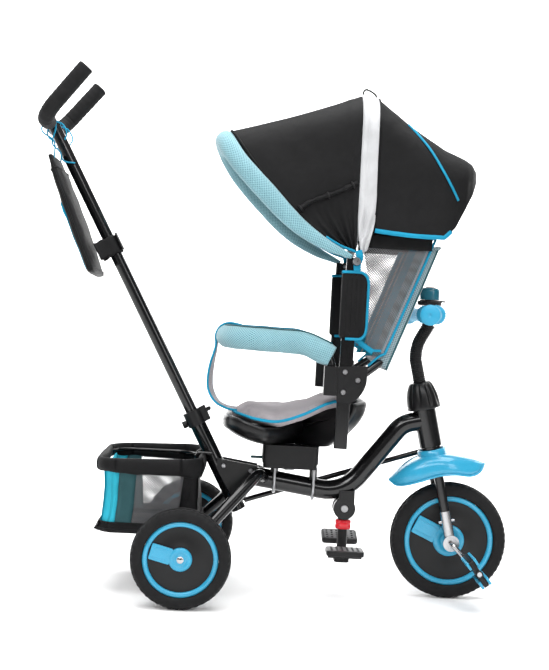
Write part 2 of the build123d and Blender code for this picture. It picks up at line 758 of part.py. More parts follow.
COLLAR_R = 21.0
COLLAR_LOW = SOCKET_LENGTH + GAP
COLLAR_HIGH = SHAFT_TOP
KNOB_ALONG = COLLAR_LOW + 12
LEVER_ALONG = COLLAR_LOW + 22
with BuildPart() as clamp_collar:
    with BuildSketch(handle(COLLAR_LOW)):
        Circle(COLLAR_R)
        with Locations((22, 0)):
            Rectangle(18, 22)
        Circle(SHAFT_R, mode=Mode.SUBTRACT)
    extrude(amount=COLLAR_HIGH - COLLAR_LOW)
    with BuildSketch(handle(LEVER_ALONG - 8)):
        with Locations((27, 0)):
            Rectangle(18, 12.6)
    extrude(amount=30, mode=Mode.SUBTRACT)
    knob_axis = Plane(origin=handle_point(0, 0, KNOB_ALONG), z_dir=-handle(0).x_dir)
    with BuildSketch(knob_axis.offset(SHAFT_R)):
        Circle(4 + RUNNING)
    extrude(amount=20, mode=Mode.SUBTRACT)
keep(clamp_collar, "clamp_collar")

# Clamp lever on its pin, and the spring-loaded pull knob on the collar's rear.
LEVER_PIN = handle_point(26, 0, LEVER_ALONG)
with BuildPart() as clamp_lever:
    with BuildSketch(Plane(origin=LEVER_PIN, x_dir=handle(0).x_dir, z_dir=(0, -1, 0))) as cam:
        Circle(7)
        with Locations((6, 0)):
            RectangleRounded(18, 9, 4)
    extrude(amount=6, both=True)
keep(clamp_lever, "clamp_lever")

with BuildPart() as pull_knob:
    with BuildSketch(knob_axis.offset(SHAFT_R + 0.3)):
        Circle(4)
    extrude(amount=10)
    with BuildSketch(knob_axis.offset(COLLAR_R + 0.5)):
        Circle(8)
    extrude(amount=9)
keep(pull_knob, "pull_knob")

HANDLE_INSIDE = 110.0     # how far up the shaft the telescoping tube starts
HORN_REAR = handle_point(0, 0, handle_length(HANDLE_TOP))[0] - REAR_AXLE_X
HORN_TIP = (-251.0, 122.0, 1088.0)
horn_route = [
    at(HORN_TIP[0], -HORN_TIP[1], HORN_TIP[2]),
    at(HORN_REAR - 4, -HORN_Y, HANDLE_TOP),
    at(HORN_REAR - 4, HORN_Y, HANDLE_TOP),
    at(HORN_TIP[0], HORN_TIP[1], HORN_TIP[2]),
]
HORN_BEND = 46.0
with BuildPart() as handle_tube:
    add(straight_tube(handle_point(0, 0, HANDLE_INSIDE),
                      handle_point(0, 0, handle_length(HANDLE_TOP)), HANDLE_R).part)
    add(bent_tube(horn_route, HORN_BEND, HORN_R).part)
handle_solid = handle_tube.part
with BuildPart() as handle_tube:
    add(handle_solid)
    add(straight_tube(handle_point(0, 0, HANDLE_INSIDE - 1),
                      handle_point(0, 0, handle_length(HANDLE_TOP) - 20), HANDLE_R - 1.5).part,
        mode=Mode.SUBTRACT)
    add(bent_tube(horn_route, HORN_BEND, HORN_R - 1.5).part, mode=Mode.SUBTRACT)
keep(handle_tube, "handle_tube")

with BuildPart() as foam_grips:
    for hand in (-1, 1):
        start = Vector(*at(HORN_REAR - 4, hand * 42, HANDLE_TOP))
        corner = Vector(*at(HORN_REAR - 4, hand * HORN_Y, HANDLE_TOP))
        tip = Vector(*at(HORN_TIP[0], hand * HORN_TIP[1], HORN_TIP[2]))
        past = tip + (tip - corner).normalized() * 5
        add(bent_tube([start, corner, past], HORN_BEND, FOAM_R).part)
    add(handle_solid, mode=Mode.SUBTRACT)
keep(foam_grips, "foam_grips")

# The parent's bag hangs behind the tube, strapped to it.
BAG_TOP = (-322.0, 909.0)
BAG_FOOT = (-222.0, 668.0)
BAG_T = 22.0
BAG_HALF = 92.0
STRAP_Z = 730.0
bag_lean = degrees(atan2(BAG_TOP[0] - BAG_FOOT[0], BAG_TOP[1] - BAG_FOOT[1]))
bag_plane = Plane(
    origin=at((BAG_TOP[0] + BAG_FOOT[0]) / 2, 0, (BAG_TOP[1] + BAG_FOOT[1]) / 2),
    x_dir=(0, 1, 0),
    z_dir=(cos(radians(bag_lean)), 0, -sin(radians(bag_lean))),
)
with BuildPart() as parent_bag:
    with BuildSketch(bag_plane):
        RectangleRounded(2 * BAG_HALF, 262, 26)
    extrude(amount=BAG_T / 2, both=True)
    fillet(parent_bag.faces().sort_by(Axis.X)[0].edges(), radius=7)
    with BuildSketch(handle(handle_length(STRAP_Z) - 20)):
        Circle(17)
        with Locations((-22, 0)):
            Rectangle(30, 8)
        Circle(HANDLE_R, mode=Mode.SUBTRACT)
    extrude(amount=40)
keep(parent_bag, "parent_bag")

# ---------------------------------------------------------------- steering rod
ROD_R = 6.0
ROD_REAR_ALONG = ARM_FOOT + 6 + 0.5
ROD_FRONT_ALONG = 194.0
rod_rear = Vector(*handle_point(0, LINK_Y, ROD_REAR_ALONG + LINK_T / 2))
rod_front = Vector(*steering_point(0, LINK_Y, ROD_FRONT_ALONG + LINK_T / 2))
rod_way = (rod_front - rod_rear).normalized()
with BuildPart() as steering_rod:
    with BuildSketch(Plane(origin=rod_rear + rod_way * 9, z_dir=rod_way)):
        Circle(ROD_R)
    extrude(amount=(rod_front - rod_rear).length - 20)
    with BuildSketch(handle(ROD_REAR_ALONG)):
        with Locations((0, LINK_Y)):
            Circle(11)
    extrude(amount=LINK_T)
    with BuildSketch(steering(ROD_FRONT_ALONG)):
        with Locations((0, LINK_Y)):
            Circle(13)
    extrude(amount=LINK_T)
    with BuildSketch(handle(ROD_REAR_ALONG - 0.4)):
        with Locations((0, LINK_Y)):
            Circle(LINK_PIN_R + RUNNING)
    extrude(amount=30, mode=Mode.SUBTRACT)
    with BuildSketch(handle(ROD_REAR_ALONG - 20)):
        with Locations((0, LINK_Y)):
            Circle(16)
    extrude(amount=20, mode=Mode.SUBTRACT)
    with BuildSketch(steering(ROD_FRONT_ALONG - 30)):
        with Locations((0, LINK_Y)):
            Circle(7)
    extrude(amount=60, mode=Mode.SUBTRACT)
keep(steering_rod, "steering_rod")

# ---------------------------------------------------------------- seat
SHELL_HALF = 126.0
HOUSING_LOW, HOUSING_HIGH = 282.4, 321.0
LEVER_LOW = 286.0
LEVER_T = 4.0
LEVER_PIVOT = (SEAT_X - 38, LEVER_LOW + LEVER_T / 2)
LEVER_PIN_R = 1.5
LEVER_BARREL_R = 3.4
with BuildPart() as swivel_housing:
    with BuildSketch(level(HOUSING_LOW)):
        with Locations((SEAT_X, 0)):
            RectangleRounded(121, 106, 12)
    extrude(amount=HOUSING_HIGH - HOUSING_LOW)
    with BuildSketch(level(HOUSING_LOW)):
        with Locations((SEAT_X, 0)):
            Circle(KINGPIN_R + RUNNING)
    extrude(amount=KINGPIN_TOP - HOUSING_LOW + 1, mode=Mode.SUBTRACT)
    with BuildSketch(level(LEVER_LOW - 2)):
        with Locations((SEAT_X - 50, 0)):
            Rectangle(44, 26)
    extrude(amount=14, mode=Mode.SUBTRACT)
    with BuildSketch(side(0)):
        with Locations(LEVER_PIVOT):
            Circle(LEVER_PIN_R)
    extrude(amount=14, both=True)
keep(swivel_housing, "swivel_housing")

# The release lever turns on the pin across the housing's slot.
with BuildPart() as seat_lever:
    with BuildSketch(level(LEVER_LOW)):
        with Locations((SEAT_X - 58, 0)):
            RectangleRounded(54, 20, 4)
    extrude(amount=LEVER_T)
    with BuildSketch(side(0)):
        with Locations(LEVER_PIVOT):
            Circle(LEVER_BARREL_R)
    extrude(amount=10, both=True)
    with BuildSketch(side(0)):
        with Locations(LEVER_PIVOT):
            Circle(LEVER_PIN_R + RUNNING)
    extrude(amount=12, both=True, mode=Mode.SUBTRACT)
keep(seat_lever, "seat_lever")

SHELL_SIDE = [
    (68, 371), (76, 388), (120, 372), (168, 362), (222, 372), (272, 397), (332, 424), (368, 426),
    (373, 412), (356, 362), (334, 334), (302, 321.3), (158, 321.3), (112, 334), (80, 350),
]


def seat_plan(inset):
    """Plan of the seat: square at the back, rounded at the front edge."""
    with BuildSketch(level(300)) as plan:
        with BuildLine():
            half = SHELL_HALF - inset
            back = Line((374, -70), (374, 70))
            left_corner = Line(back @ 1, (341, half))
            left = Line(left_corner @ 1, (160, half))
            front = ThreePointArc(left @ 1, (66 + inset, 0), (160, -half))
            right = Line(front @ 1, (341, -half))
            Line(right @ 1, back @ 0)
        make_face()
    return plan.sketch


with BuildPart() as seat_shell:
    with BuildSketch(side(0)):
        with BuildLine():
            Polyline(*SHELL_SIDE, close=True)
        make_face()
    extrude(amount=SHELL_HALF, both=True)
    extrude(seat_plan(0), amount=200, mode=Mode.INTERSECT)
    with BuildSketch(side(0)):
        with BuildLine():
            Polyline((84, 400), (84, 380), (168, 350), (225, 360), (275, 384), (335, 411), (362, 413),
                     (362, 460), close=True)
        make_face()
    extrude(amount=SHELL_HALF - 14, both=True, mode=Mode.SUBTRACT)
    with BuildSketch(side(0)):
        with BuildLine():
            Polyline((108, 346), (108, 364), (168, 344), (225, 354), (275, 378), (330, 404), (350, 404),
                     (341, 365), (324, 340), (298, 327), (160, 327), close=True)
        make_face()
    extrude(amount=SHELL_HALF - 20, both=True, mode=Mode.SUBTRACT)
    with BuildSketch(level(310)):
        with Locations((SEAT_X, 0)):
            Rectangle(80, 70)
    extrude(amount=30, mode=Mode.SUBTRACT)
    for hand in (-1, 1):
        with BuildSketch(side(hand * (SHELL_HALF - 10))):
            with Locations((316, 368)):
                Rectangle(24, 64)
        extrude(amount=-hand * (POST_Y - POST_SIZE[1] / 2 - SHELL_HALF + 10))
keep(seat_shell, "seat_shell")

with BuildPart() as seat_cushion:
    with BuildSketch(side(0)):
        with BuildLine():
            Polyline((90, 389), (90, 379.5), (168, 351), (225, 361), (275, 385), (334, 411.6),
                     (334, 424), (275, 403), (222, 388), (168, 382), (120, 389), close=True)
        make_face()
    extrude(amount=SHELL_HALF - 16, both=True)
    extrude(seat_plan(17), amount=200, mode=Mode.INTERSECT)
keep(seat_cushion, "seat_cushion")


POST_FOOT = (315.0, 330.0)
CANOPY_PIN_R = 4.0
POST_TOP_LENGTH = 396.0
post_lean = degrees(atan2(POST_FOOT[0] - 321.5, 374))
post_plane = tilted(POST_FOOT[0], POST_FOOT[1], post_lean)
with BuildPart() as seat_posts:
    with BuildSketch(post_plane):
        with Locations((0, POST_Y), (0, -POST_Y)):
            RectangleRounded(*POST_SIZE, 4)
            RectangleRounded(POST_SIZE[0] - 4, POST_SIZE[1] - 4, 2, mode=Mode.SUBTRACT)
    extrude(amount=POST_TOP_LENGTH)
    with BuildSketch(side(0)):
        with Locations(CANOPY_PIVOT):
            Circle(CANOPY_PIN_R)
    extrude(amount=200, both=True, mode=Mode.SUBTRACT)
keep(seat_posts, "seat_posts")
with BuildPart() as post_blocks:
    with BuildSketch(post_plane):
        with Locations((0, POST_Y), (0, -POST_Y)):
            RectangleRounded(*POST_SIZE, 4)
    extrude(amount=POST_TOP_LENGTH)

# Hinge plates outside and inside each post, with the sockets of the safety bar.
PLATE_T = 4.0
PLATE_IN = POST_Y + POST_SIZE[1] / 2
PLATE_SCREWS = [(316, 490), (314, 448)]
SOCKET_BOX = (27.0, 24.0)
SOCKET_LOW, SOCKET_HIGH = 440.0, 500.0


with BuildPart() as hinge_plates:
    for hand in (-1, 1):
        with BuildSketch(side(hand * PLATE_IN)):
            with BuildLine():
                low = Line((301, 428), (326, 424))
                round_back = ThreePointArc(low @ 1, (354, 448), (362, 484))
                rear = Line(round_back @ 1, (362, 504))
                top = Line(rear @ 1, (301, 500))
                Line(top @ 1, low @ 0)
            make_face()
            with Locations(*PLATE_SCREWS):
                Circle(3, mode=Mode.SUBTRACT)
            with Locations(RECLINE_PIVOT):
                Circle(5, mode=Mode.SUBTRACT)
        extrude(amount=-hand * PLATE_T)
        with BuildSketch(level(SOCKET_LOW)):
            with Locations((BAR_SOCKET_X, hand * POST_Y)):
                Rectangle(*SOCKET_BOX)
                Circle(BAR_R + RUNNING, mode=Mode.SUBTRACT)
        extrude(amount=SOCKET_HIGH - SOCKET_LOW)
    add(post_blocks.part, mode=Mode.SUBTRACT)
keep(hinge_plates, "hinge_plates")

PIN_REACH = 30.0
# Screws of the seat: through the plates, the recline pins and the canopy pins.
with BuildPart() as seat_bolts:
    for hand in (-1, 1):
        outer = PLATE_IN + PLATE_T
        with BuildSketch(side(hand * PLATE_IN)):
            with Locations(*PLATE_SCREWS):
                Circle(3)
        extrude(amount=-hand * PLATE_T)
        with BuildSketch(side(hand * outer)):
            with Locations(*PLATE_SCREWS, RECLINE_PIVOT):
                Circle(5.5)
        extrude(amount=-hand * 3, taper=15)
        with BuildSketch(side(hand * (PLATE_IN - PIN_REACH))):
            with Locations(RECLINE_PIVOT):
                Circle(5)
        extrude(amount=-hand * (PLATE_T + PIN_REACH))
        with BuildSketch(side(hand * (POST_Y - POST_SIZE[1] / 2))):
            with Locations(CANOPY_PIVOT):
                Circle(CANOPY_PIN_R)
        extrude(amount=-hand * (POST_SIZE[1] + 16))
        with BuildSketch(side(hand * (PLATE_IN + 16))):
            with Locations(CANOPY_PIVOT):
                Circle(8)
        extrude(amount=-hand * 3, taper=15)
keep(seat_bolts, "seat_bolts")

SLEEVE_LOW, SLEEVE_HIGH = 556.0, 696.0
with BuildPart() as post_sleeves:
    for hand in (-1, 1):
        with BuildSketch(side(hand * (POST_Y - 12))):
            with Locations((326, (SLEEVE_LOW + SLEEVE_HIGH) / 2)):
                RectangleRounded(58, SLEEVE_HIGH - SLEEVE_LOW, 16)
        extrude(amount=-hand * 24)
    add(post_blocks.part, mode=Mode.SUBTRACT)
keep(post_sleeves, "post_sleeves")

# ---------------------------------------------------------------- backrest
BACK_ARM_Y = 121.0
BACK_Y = 91.0
BACK_R = 9.0
BACK_HALF = 104.0
back_route = [
    at(RECLINE_PIVOT[0], -BACK_ARM_Y, RECLINE_PIVOT[1]),
    at(400, -BACK_Y, 516),
    at(488, -BACK_Y, 737),
    at(488, BACK_Y, 737),
    at(400, BACK_Y, 516),
    at(RECLINE_PIVOT[0], BACK_ARM_Y, RECLINE_PIVOT[1]),
]
BACK_BENDS = [24.0, 40.0, 40.0, 24.0]
with BuildPart() as back_frame:
    add(bent_tube(back_route, BACK_BENDS, BACK_R, BACK_R - 1.5).part)
    for hand in (-1, 1):
        with BuildSketch(side(hand * (BACK_ARM_Y - 8))):
            with Locations(RECLINE_PIVOT):
                Circle(12)
        extrude(amount=-hand * 18)
    with BuildSketch(side(0)):
        with Locations(RECLINE_PIVOT):
            Circle(5 + RUNNING)
    extrude(amount=200, both=True, mode=Mode.SUBTRACT)
keep(back_frame, "back_frame")

with BuildPart() as back_panel:
    with BuildSketch(side(0)):
        with BuildLine():
            Polyline((381, 516), (475, 754), (511, 759), (413, 492), close=True)
        make_face()
    extrude(amount=BACK_HALF, both=True)
    fillet(back_panel.edges().filter_by(GeomType.LINE).filter_by(Plane.XZ), radius=13)
    add(bent_tube(back_route, BACK_BENDS, BACK_R).part, mode=Mode.SUBTRACT)
keep(back_panel, "back_panel")

# Mesh wings between the post sleeves and the back.
WING_T = 2.0
with BuildPart() as back_wings:
    for hand in (-1, 1):
        with BuildSketch(side(hand * (BACK_HALF + 4))):
            with BuildLine():
                Polyline((357, 760), (470, 760), (388, 535), (357, 545), close=True)
            make_face()
        extrude(amount=-hand * WING_T)
keep(back_wings, "back_wings")

# ---------------------------------------------------------------- canopy
CLOTH_T = 3.0
STRIPE_X = 328.0


def canopy_section(x, low, high, half, corner):
    """One arch of the canopy: upright sides and a rounded top."""
    with BuildSketch(across(x)) as arch:
        with Locations((0, (low + high) / 2)):
            Rectangle(2 * half, high - low)
        fillet(arch.vertices().group_by(Axis.Y)[-1], radius=corner)
    return arch.sketch


def canopy_shell(arches, inner_arches):
    """A cloth shell between two stacks of arches."""
    with BuildPart() as shell:
        loft([canopy_section(*arch) for arch in arches], ruled=True)
        loft([canopy_section(*arch) for arch in inner_arches], ruled=True, mode=Mode.SUBTRACT)
    return shell


def inner(arch, drop):
    """The same arch, one cloth thickness smaller and open at the bottom."""
    x, low, high, half, corner = arch
    return (x, low - drop, high - CLOTH_T, half - CLOTH_T, corner - CLOTH_T)


FRONT_ARCHES = [
    (40, 945, 972, 90, 22),
    (72, 886, 987, 124, 60),
    (130, 826, 1006, 136, 70),
    (215, 772, 1034, 139, 74),
    (304, 742, 1064, 141, 76),
    (STRIPE_X - 1, 742, 1071, 142, 76),
]
front_inner = [inner(arch, 30) for arch in FRONT_ARCHES]
front_inner[0] = (39, *front_inner[0][1:])
front_inner[-1] = (STRIPE_X, *front_inner[-1][1:])
keep(canopy_shell(FRONT_ARCHES, front_inner), "canopy_front")

HOOD_ARCHES = [
    (STRIPE_X, 742, 1071, 142, 76),
    (362, 742, 1064, 147, 76),
    (372, 784, 1059, 148, 76),
    (432, 778, 1015, 148, 74),
    (506, 781, 968, 142, 70),
    (552, 842, 948, 128, 60),
    (575, 896, 930, 96, 20),
]
hood_inner = [inner(arch, 30) for arch in HOOD_ARCHES[:4]]
hood_inner[0] = (STRIPE_X - 1, *hood_inner[0][1:])
hood_inner += [
    (500, 740, 968, 138, 66),
    (501, 784, 967, 138, 66),
    (548, 846, 944, 124, 56),
    (568, 898, 929, 94, 18),
]
keep(canopy_shell(HOOD_ARCHES, hood_inner), "canopy_hood")

# The front bow in its padded edging, hinged on the posts.
RIM_R = 9.0
RIM_Y = 153.0
rim_points = [(318, 724, RIM_Y), (215, 758, RIM_Y), (127, 814, RIM_Y - 4), (56, 878, 138), (28, 962, 92)]
rim_route = [at(x, -y, z) for x, z, y in rim_points] + [at(x, y, z) for x, z, y in rim_points[::-1]]
with BuildPart() as canopy_rim:
    add(bent_tube(rim_route, [80.0, 80.0, 60.0, 40.0, 40.0, 60.0, 80.0, 80.0], RIM_R).part)
    for hand in (-1, 1):
        with BuildSketch(side(hand * (RIM_Y - 7))):
            with Locations(CANOPY_PIVOT):
                Circle(13)
        extrude(amount=-hand * 12)
    with BuildSketch(side(0)):
        with Locations(CANOPY_PIVOT):
            Circle(CANOPY_PIN_R + RUNNING)
    extrude(amount=200, both=True, mode=Mode.SUBTRACT)
keep(canopy_rim, "canopy_rim")

# ---------------------------------------------------------------- safety bar
bar_points = [
    (BAR_SOCKET_X, POST_Y, 446),
    (BAR_SOCKET_X, POST_Y, 519),
    (232, 130, 541),
    (70, 104, 550),
]
bar_route_half = [at(x, -y, z) for x, y, z in bar_points]
bar_route_whole = bar_route_half + [at(x, y, z) for x, y, z in bar_points[::-1]]
BAR_BENDS = [26.0, 90.0, 60.0, 60.0, 90.0, 26.0]
keep(bent_tube(bar_route_whole, BAR_BENDS, BAR_R, BAR_R - 1.5), "safety_bar")

pad_points = [(277, 136, 523), (232, 130, 541), (70, 104, 550)]
pad_route = [at(x, -y, z) for x, y, z in pad_points] + [at(x, y, z) for x, y, z in pad_points[::-1]]
with BuildPart() as bar_padding:
    add(bent_tube(pad_route, [90.0, 60.0, 60.0, 90.0], PAD_R).part)
    add(bent_tube(bar_route_whole, BAR_BENDS, BAR_R).part, mode=Mode.SUBTRACT)
keep(bar_padding, "bar_padding")

# Crotch strap from the bar down to the front of the seat.
STRAP_HALF = 26.0
with BuildPart() as crotch_strap:
    with BuildSketch(side(0)):
        with BuildLine():
            outer = Spline((48, 521), (29, 460), (44, 410), (77, 392))
            foot = Line(outer @ 1, (79, 396))
            inner_side = Spline(foot @ 1, (48, 414), (33, 460), (52, 521))
            Line(inner_side @ 1, outer @ 0)
        make_face()
    extrude(amount=STRAP_HALF, both=True)
keep(crotch_strap, "crotch_strap")

# ---------------------------------------------------------------- footrest
STEM_TUBE_R = 11.0
PLATE_HALF_X = 40.0
FOOT_PLATE_T = 13.0
FOOT_BAR_Z = 100.0
with BuildPart() as footrest:
    with BuildSketch(side(0)):
        with Locations(FOOT_PIVOT):
            Circle(20)
        with Locations((FOOT_PIVOT[0], 170)):
            Rectangle(2 * STEM_TUBE_R, 20)
    extrude(amount=FOOT_TONGUE_HALF, both=True)
    with BuildSketch(level(84)):
        with Locations((FOOT_PIVOT[0], 0)):
            Circle(STEM_TUBE_R)
    extrude(amount=77)
    with BuildSketch(level(68)):
        with Locations((FOOT_PIVOT[0], 0)):
            RectangleRounded(33, 36, 4)
    extrude(amount=16)
    add(straight_tube(at(FOOT_PIVOT[0], -96, FOOT_BAR_Z), at(FOOT_PIVOT[0], 70, FOOT_BAR_Z), 6).part)
    with BuildSketch(across(FOOT_PIVOT[0] - PLATE_HALF_X, -72, FOOT_BAR_Z + 3)):
        Rectangle(58, FOOT_PLATE_T)
    extrude(amount=2 * PLATE_HALF_X)
    far_plate = across(FOOT_PIVOT[0] - PLATE_HALF_X, 72, FOOT_BAR_Z + 9).rotated((0, 0, 14))
    with BuildSketch(far_plate):
        Rectangle(58, FOOT_PLATE_T)
    extrude(amount=2 * PLATE_HALF_X)
    with BuildSketch(side(0)):
        with Locations(FOOT_PIVOT):
            Circle(FOOT_PIN_R + RUNNING)
    extrude(amount=FOOT_TONGUE_HALF, both=True, mode=Mode.SUBTRACT)
keep(footrest, "footrest")

COLLAR_MIDDLE = 151.0
with BuildPart() as footrest_collar:
    with BuildSketch(level(COLLAR_MIDDLE - 10.5)):
        with Locations((FOOT_PIVOT[0], 0)):
            RectangleRounded(34, 34, 9)
            Circle(STEM_TUBE_R, mode=Mode.SUBTRACT)
    extrude(amount=21)
    fillet(footrest_collar.edges().group_by(Axis.Z)[-1].sort_by(SortBy.LENGTH)[-1:], radius=0.5)
    add(footrest.part, mode=Mode.SUBTRACT)
keep(footrest_collar, "footrest_collar")
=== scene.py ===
import json
from math import acos, copysign, cos, exp, pi, radians, sin, tan
import bpy
import bmesh
import numpy as np
from mathutils import Matrix, Vector, noise
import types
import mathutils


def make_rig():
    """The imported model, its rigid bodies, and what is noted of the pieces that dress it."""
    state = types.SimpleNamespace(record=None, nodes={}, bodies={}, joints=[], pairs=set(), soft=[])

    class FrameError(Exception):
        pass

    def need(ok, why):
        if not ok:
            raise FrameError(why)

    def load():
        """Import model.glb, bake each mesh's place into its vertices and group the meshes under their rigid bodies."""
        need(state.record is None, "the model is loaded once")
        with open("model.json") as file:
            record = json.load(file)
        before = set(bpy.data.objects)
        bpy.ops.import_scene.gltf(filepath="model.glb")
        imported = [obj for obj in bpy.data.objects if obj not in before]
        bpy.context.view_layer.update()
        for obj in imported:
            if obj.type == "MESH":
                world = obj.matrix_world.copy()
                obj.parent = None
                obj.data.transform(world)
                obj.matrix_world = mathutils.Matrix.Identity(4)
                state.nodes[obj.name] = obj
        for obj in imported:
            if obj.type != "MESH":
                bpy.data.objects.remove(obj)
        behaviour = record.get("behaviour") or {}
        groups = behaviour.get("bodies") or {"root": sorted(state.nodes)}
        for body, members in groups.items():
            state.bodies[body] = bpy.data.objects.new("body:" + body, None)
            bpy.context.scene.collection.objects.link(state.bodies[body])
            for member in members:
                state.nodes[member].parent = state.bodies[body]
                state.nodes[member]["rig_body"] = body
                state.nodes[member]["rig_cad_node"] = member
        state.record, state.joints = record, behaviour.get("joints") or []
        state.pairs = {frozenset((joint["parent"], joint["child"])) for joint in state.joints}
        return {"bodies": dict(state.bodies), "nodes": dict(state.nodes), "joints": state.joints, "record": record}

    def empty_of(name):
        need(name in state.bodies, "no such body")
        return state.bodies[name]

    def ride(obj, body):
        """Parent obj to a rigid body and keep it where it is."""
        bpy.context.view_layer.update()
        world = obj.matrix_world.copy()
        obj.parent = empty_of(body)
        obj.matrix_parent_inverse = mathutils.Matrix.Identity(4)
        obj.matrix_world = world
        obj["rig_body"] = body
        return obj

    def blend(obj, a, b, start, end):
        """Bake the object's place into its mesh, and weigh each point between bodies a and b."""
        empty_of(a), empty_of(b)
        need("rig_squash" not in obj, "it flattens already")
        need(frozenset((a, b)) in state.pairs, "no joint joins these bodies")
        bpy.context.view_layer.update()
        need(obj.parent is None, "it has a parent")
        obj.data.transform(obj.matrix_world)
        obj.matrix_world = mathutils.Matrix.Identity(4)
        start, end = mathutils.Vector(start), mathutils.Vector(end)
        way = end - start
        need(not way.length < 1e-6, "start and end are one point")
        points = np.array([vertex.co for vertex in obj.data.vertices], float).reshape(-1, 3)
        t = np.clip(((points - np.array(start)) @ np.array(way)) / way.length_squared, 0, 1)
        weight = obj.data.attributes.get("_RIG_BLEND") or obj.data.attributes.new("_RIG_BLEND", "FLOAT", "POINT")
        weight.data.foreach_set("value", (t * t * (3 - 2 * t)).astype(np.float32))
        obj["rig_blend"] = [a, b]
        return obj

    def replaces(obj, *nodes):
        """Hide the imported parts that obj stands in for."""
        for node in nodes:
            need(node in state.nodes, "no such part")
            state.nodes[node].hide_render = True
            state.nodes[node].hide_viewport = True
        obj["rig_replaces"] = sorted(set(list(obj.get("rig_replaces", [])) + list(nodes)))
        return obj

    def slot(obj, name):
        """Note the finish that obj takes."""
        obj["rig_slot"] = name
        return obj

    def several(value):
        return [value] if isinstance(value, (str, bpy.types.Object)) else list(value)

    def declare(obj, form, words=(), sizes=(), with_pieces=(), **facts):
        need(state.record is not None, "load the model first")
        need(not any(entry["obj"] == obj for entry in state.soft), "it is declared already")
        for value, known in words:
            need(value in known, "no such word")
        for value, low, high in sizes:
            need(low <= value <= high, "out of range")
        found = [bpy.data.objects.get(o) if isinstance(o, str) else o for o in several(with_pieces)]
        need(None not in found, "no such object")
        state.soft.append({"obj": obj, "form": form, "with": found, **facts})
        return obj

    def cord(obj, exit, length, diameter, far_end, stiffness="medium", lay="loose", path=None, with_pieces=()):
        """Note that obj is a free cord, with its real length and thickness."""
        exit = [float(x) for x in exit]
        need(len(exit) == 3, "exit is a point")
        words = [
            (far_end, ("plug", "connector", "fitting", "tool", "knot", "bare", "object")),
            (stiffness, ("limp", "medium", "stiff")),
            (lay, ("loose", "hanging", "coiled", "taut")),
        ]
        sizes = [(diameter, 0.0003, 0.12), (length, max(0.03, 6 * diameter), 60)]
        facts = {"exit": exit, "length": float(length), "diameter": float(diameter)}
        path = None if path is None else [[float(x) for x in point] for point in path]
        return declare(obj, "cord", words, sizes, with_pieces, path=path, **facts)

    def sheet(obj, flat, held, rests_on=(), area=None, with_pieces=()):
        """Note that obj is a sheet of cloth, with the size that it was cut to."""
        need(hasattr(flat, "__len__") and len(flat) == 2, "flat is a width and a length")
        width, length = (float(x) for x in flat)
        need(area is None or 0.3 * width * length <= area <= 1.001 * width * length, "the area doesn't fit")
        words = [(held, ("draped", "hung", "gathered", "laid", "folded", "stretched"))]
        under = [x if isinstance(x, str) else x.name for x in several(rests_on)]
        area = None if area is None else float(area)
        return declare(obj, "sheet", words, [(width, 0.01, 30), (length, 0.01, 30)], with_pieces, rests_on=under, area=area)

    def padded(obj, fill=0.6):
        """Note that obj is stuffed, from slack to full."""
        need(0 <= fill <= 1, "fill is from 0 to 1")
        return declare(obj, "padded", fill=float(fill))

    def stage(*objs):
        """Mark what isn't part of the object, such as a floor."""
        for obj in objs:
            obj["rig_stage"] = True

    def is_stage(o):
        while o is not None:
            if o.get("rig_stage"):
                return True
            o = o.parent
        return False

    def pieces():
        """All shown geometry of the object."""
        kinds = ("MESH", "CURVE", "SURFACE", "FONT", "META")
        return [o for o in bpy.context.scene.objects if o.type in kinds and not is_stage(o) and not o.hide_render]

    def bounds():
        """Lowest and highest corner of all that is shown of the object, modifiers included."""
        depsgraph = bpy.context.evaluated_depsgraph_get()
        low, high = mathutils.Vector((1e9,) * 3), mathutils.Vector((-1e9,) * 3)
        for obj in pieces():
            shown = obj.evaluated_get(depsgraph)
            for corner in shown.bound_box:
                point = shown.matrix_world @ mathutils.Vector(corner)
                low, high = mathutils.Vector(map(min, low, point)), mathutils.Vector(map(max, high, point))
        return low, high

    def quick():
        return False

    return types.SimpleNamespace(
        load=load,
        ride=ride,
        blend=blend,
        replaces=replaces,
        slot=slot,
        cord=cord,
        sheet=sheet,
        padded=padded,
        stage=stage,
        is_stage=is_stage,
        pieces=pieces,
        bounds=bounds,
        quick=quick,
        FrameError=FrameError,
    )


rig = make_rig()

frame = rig.load()
cad_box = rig.bounds()
nodes = frame["nodes"]

X, Y, Z = (1, 0, 0), (0, 1, 0), (0, 0, 1)
AXLE_X = -0.17485        # the rear axle, in the frame
WHEELBASE = 574
FRONT_R, REAR_R = 127, 102
STEM_X, STEM_Z = 102.6, 191     # where the handle's shaft enters its socket
HORN_Z = 985                    # the handle's cross bar
HEAD = radians(13.2)       # how far the steering axis leans back
LEAN = radians(28.6)       # and the parent handle


def at(x, y, z):
    """Metres in the frame from millimetres: ahead of the rear axle, left, above the floor."""
    return np.array((AXLE_X + x / 1000, y / 1000, z / 1000))


def steer(forward, y, along):
    return at(WHEELBASE - sin(HEAD) * along + cos(HEAD) * forward, y,
        FRONT_R + cos(HEAD) * along + sin(HEAD) * forward)


def stem(forward, y, along):
    return at(STEM_X - sin(LEAN) * along + cos(LEAN) * forward, y,
        STEM_Z + cos(LEAN) * along + sin(LEAN) * forward)


STEER_UP = steer(0, 0, 1) - steer(0, 0, 0)
STEM_UP = stem(0, 0, 1) - stem(0, 0, 0)

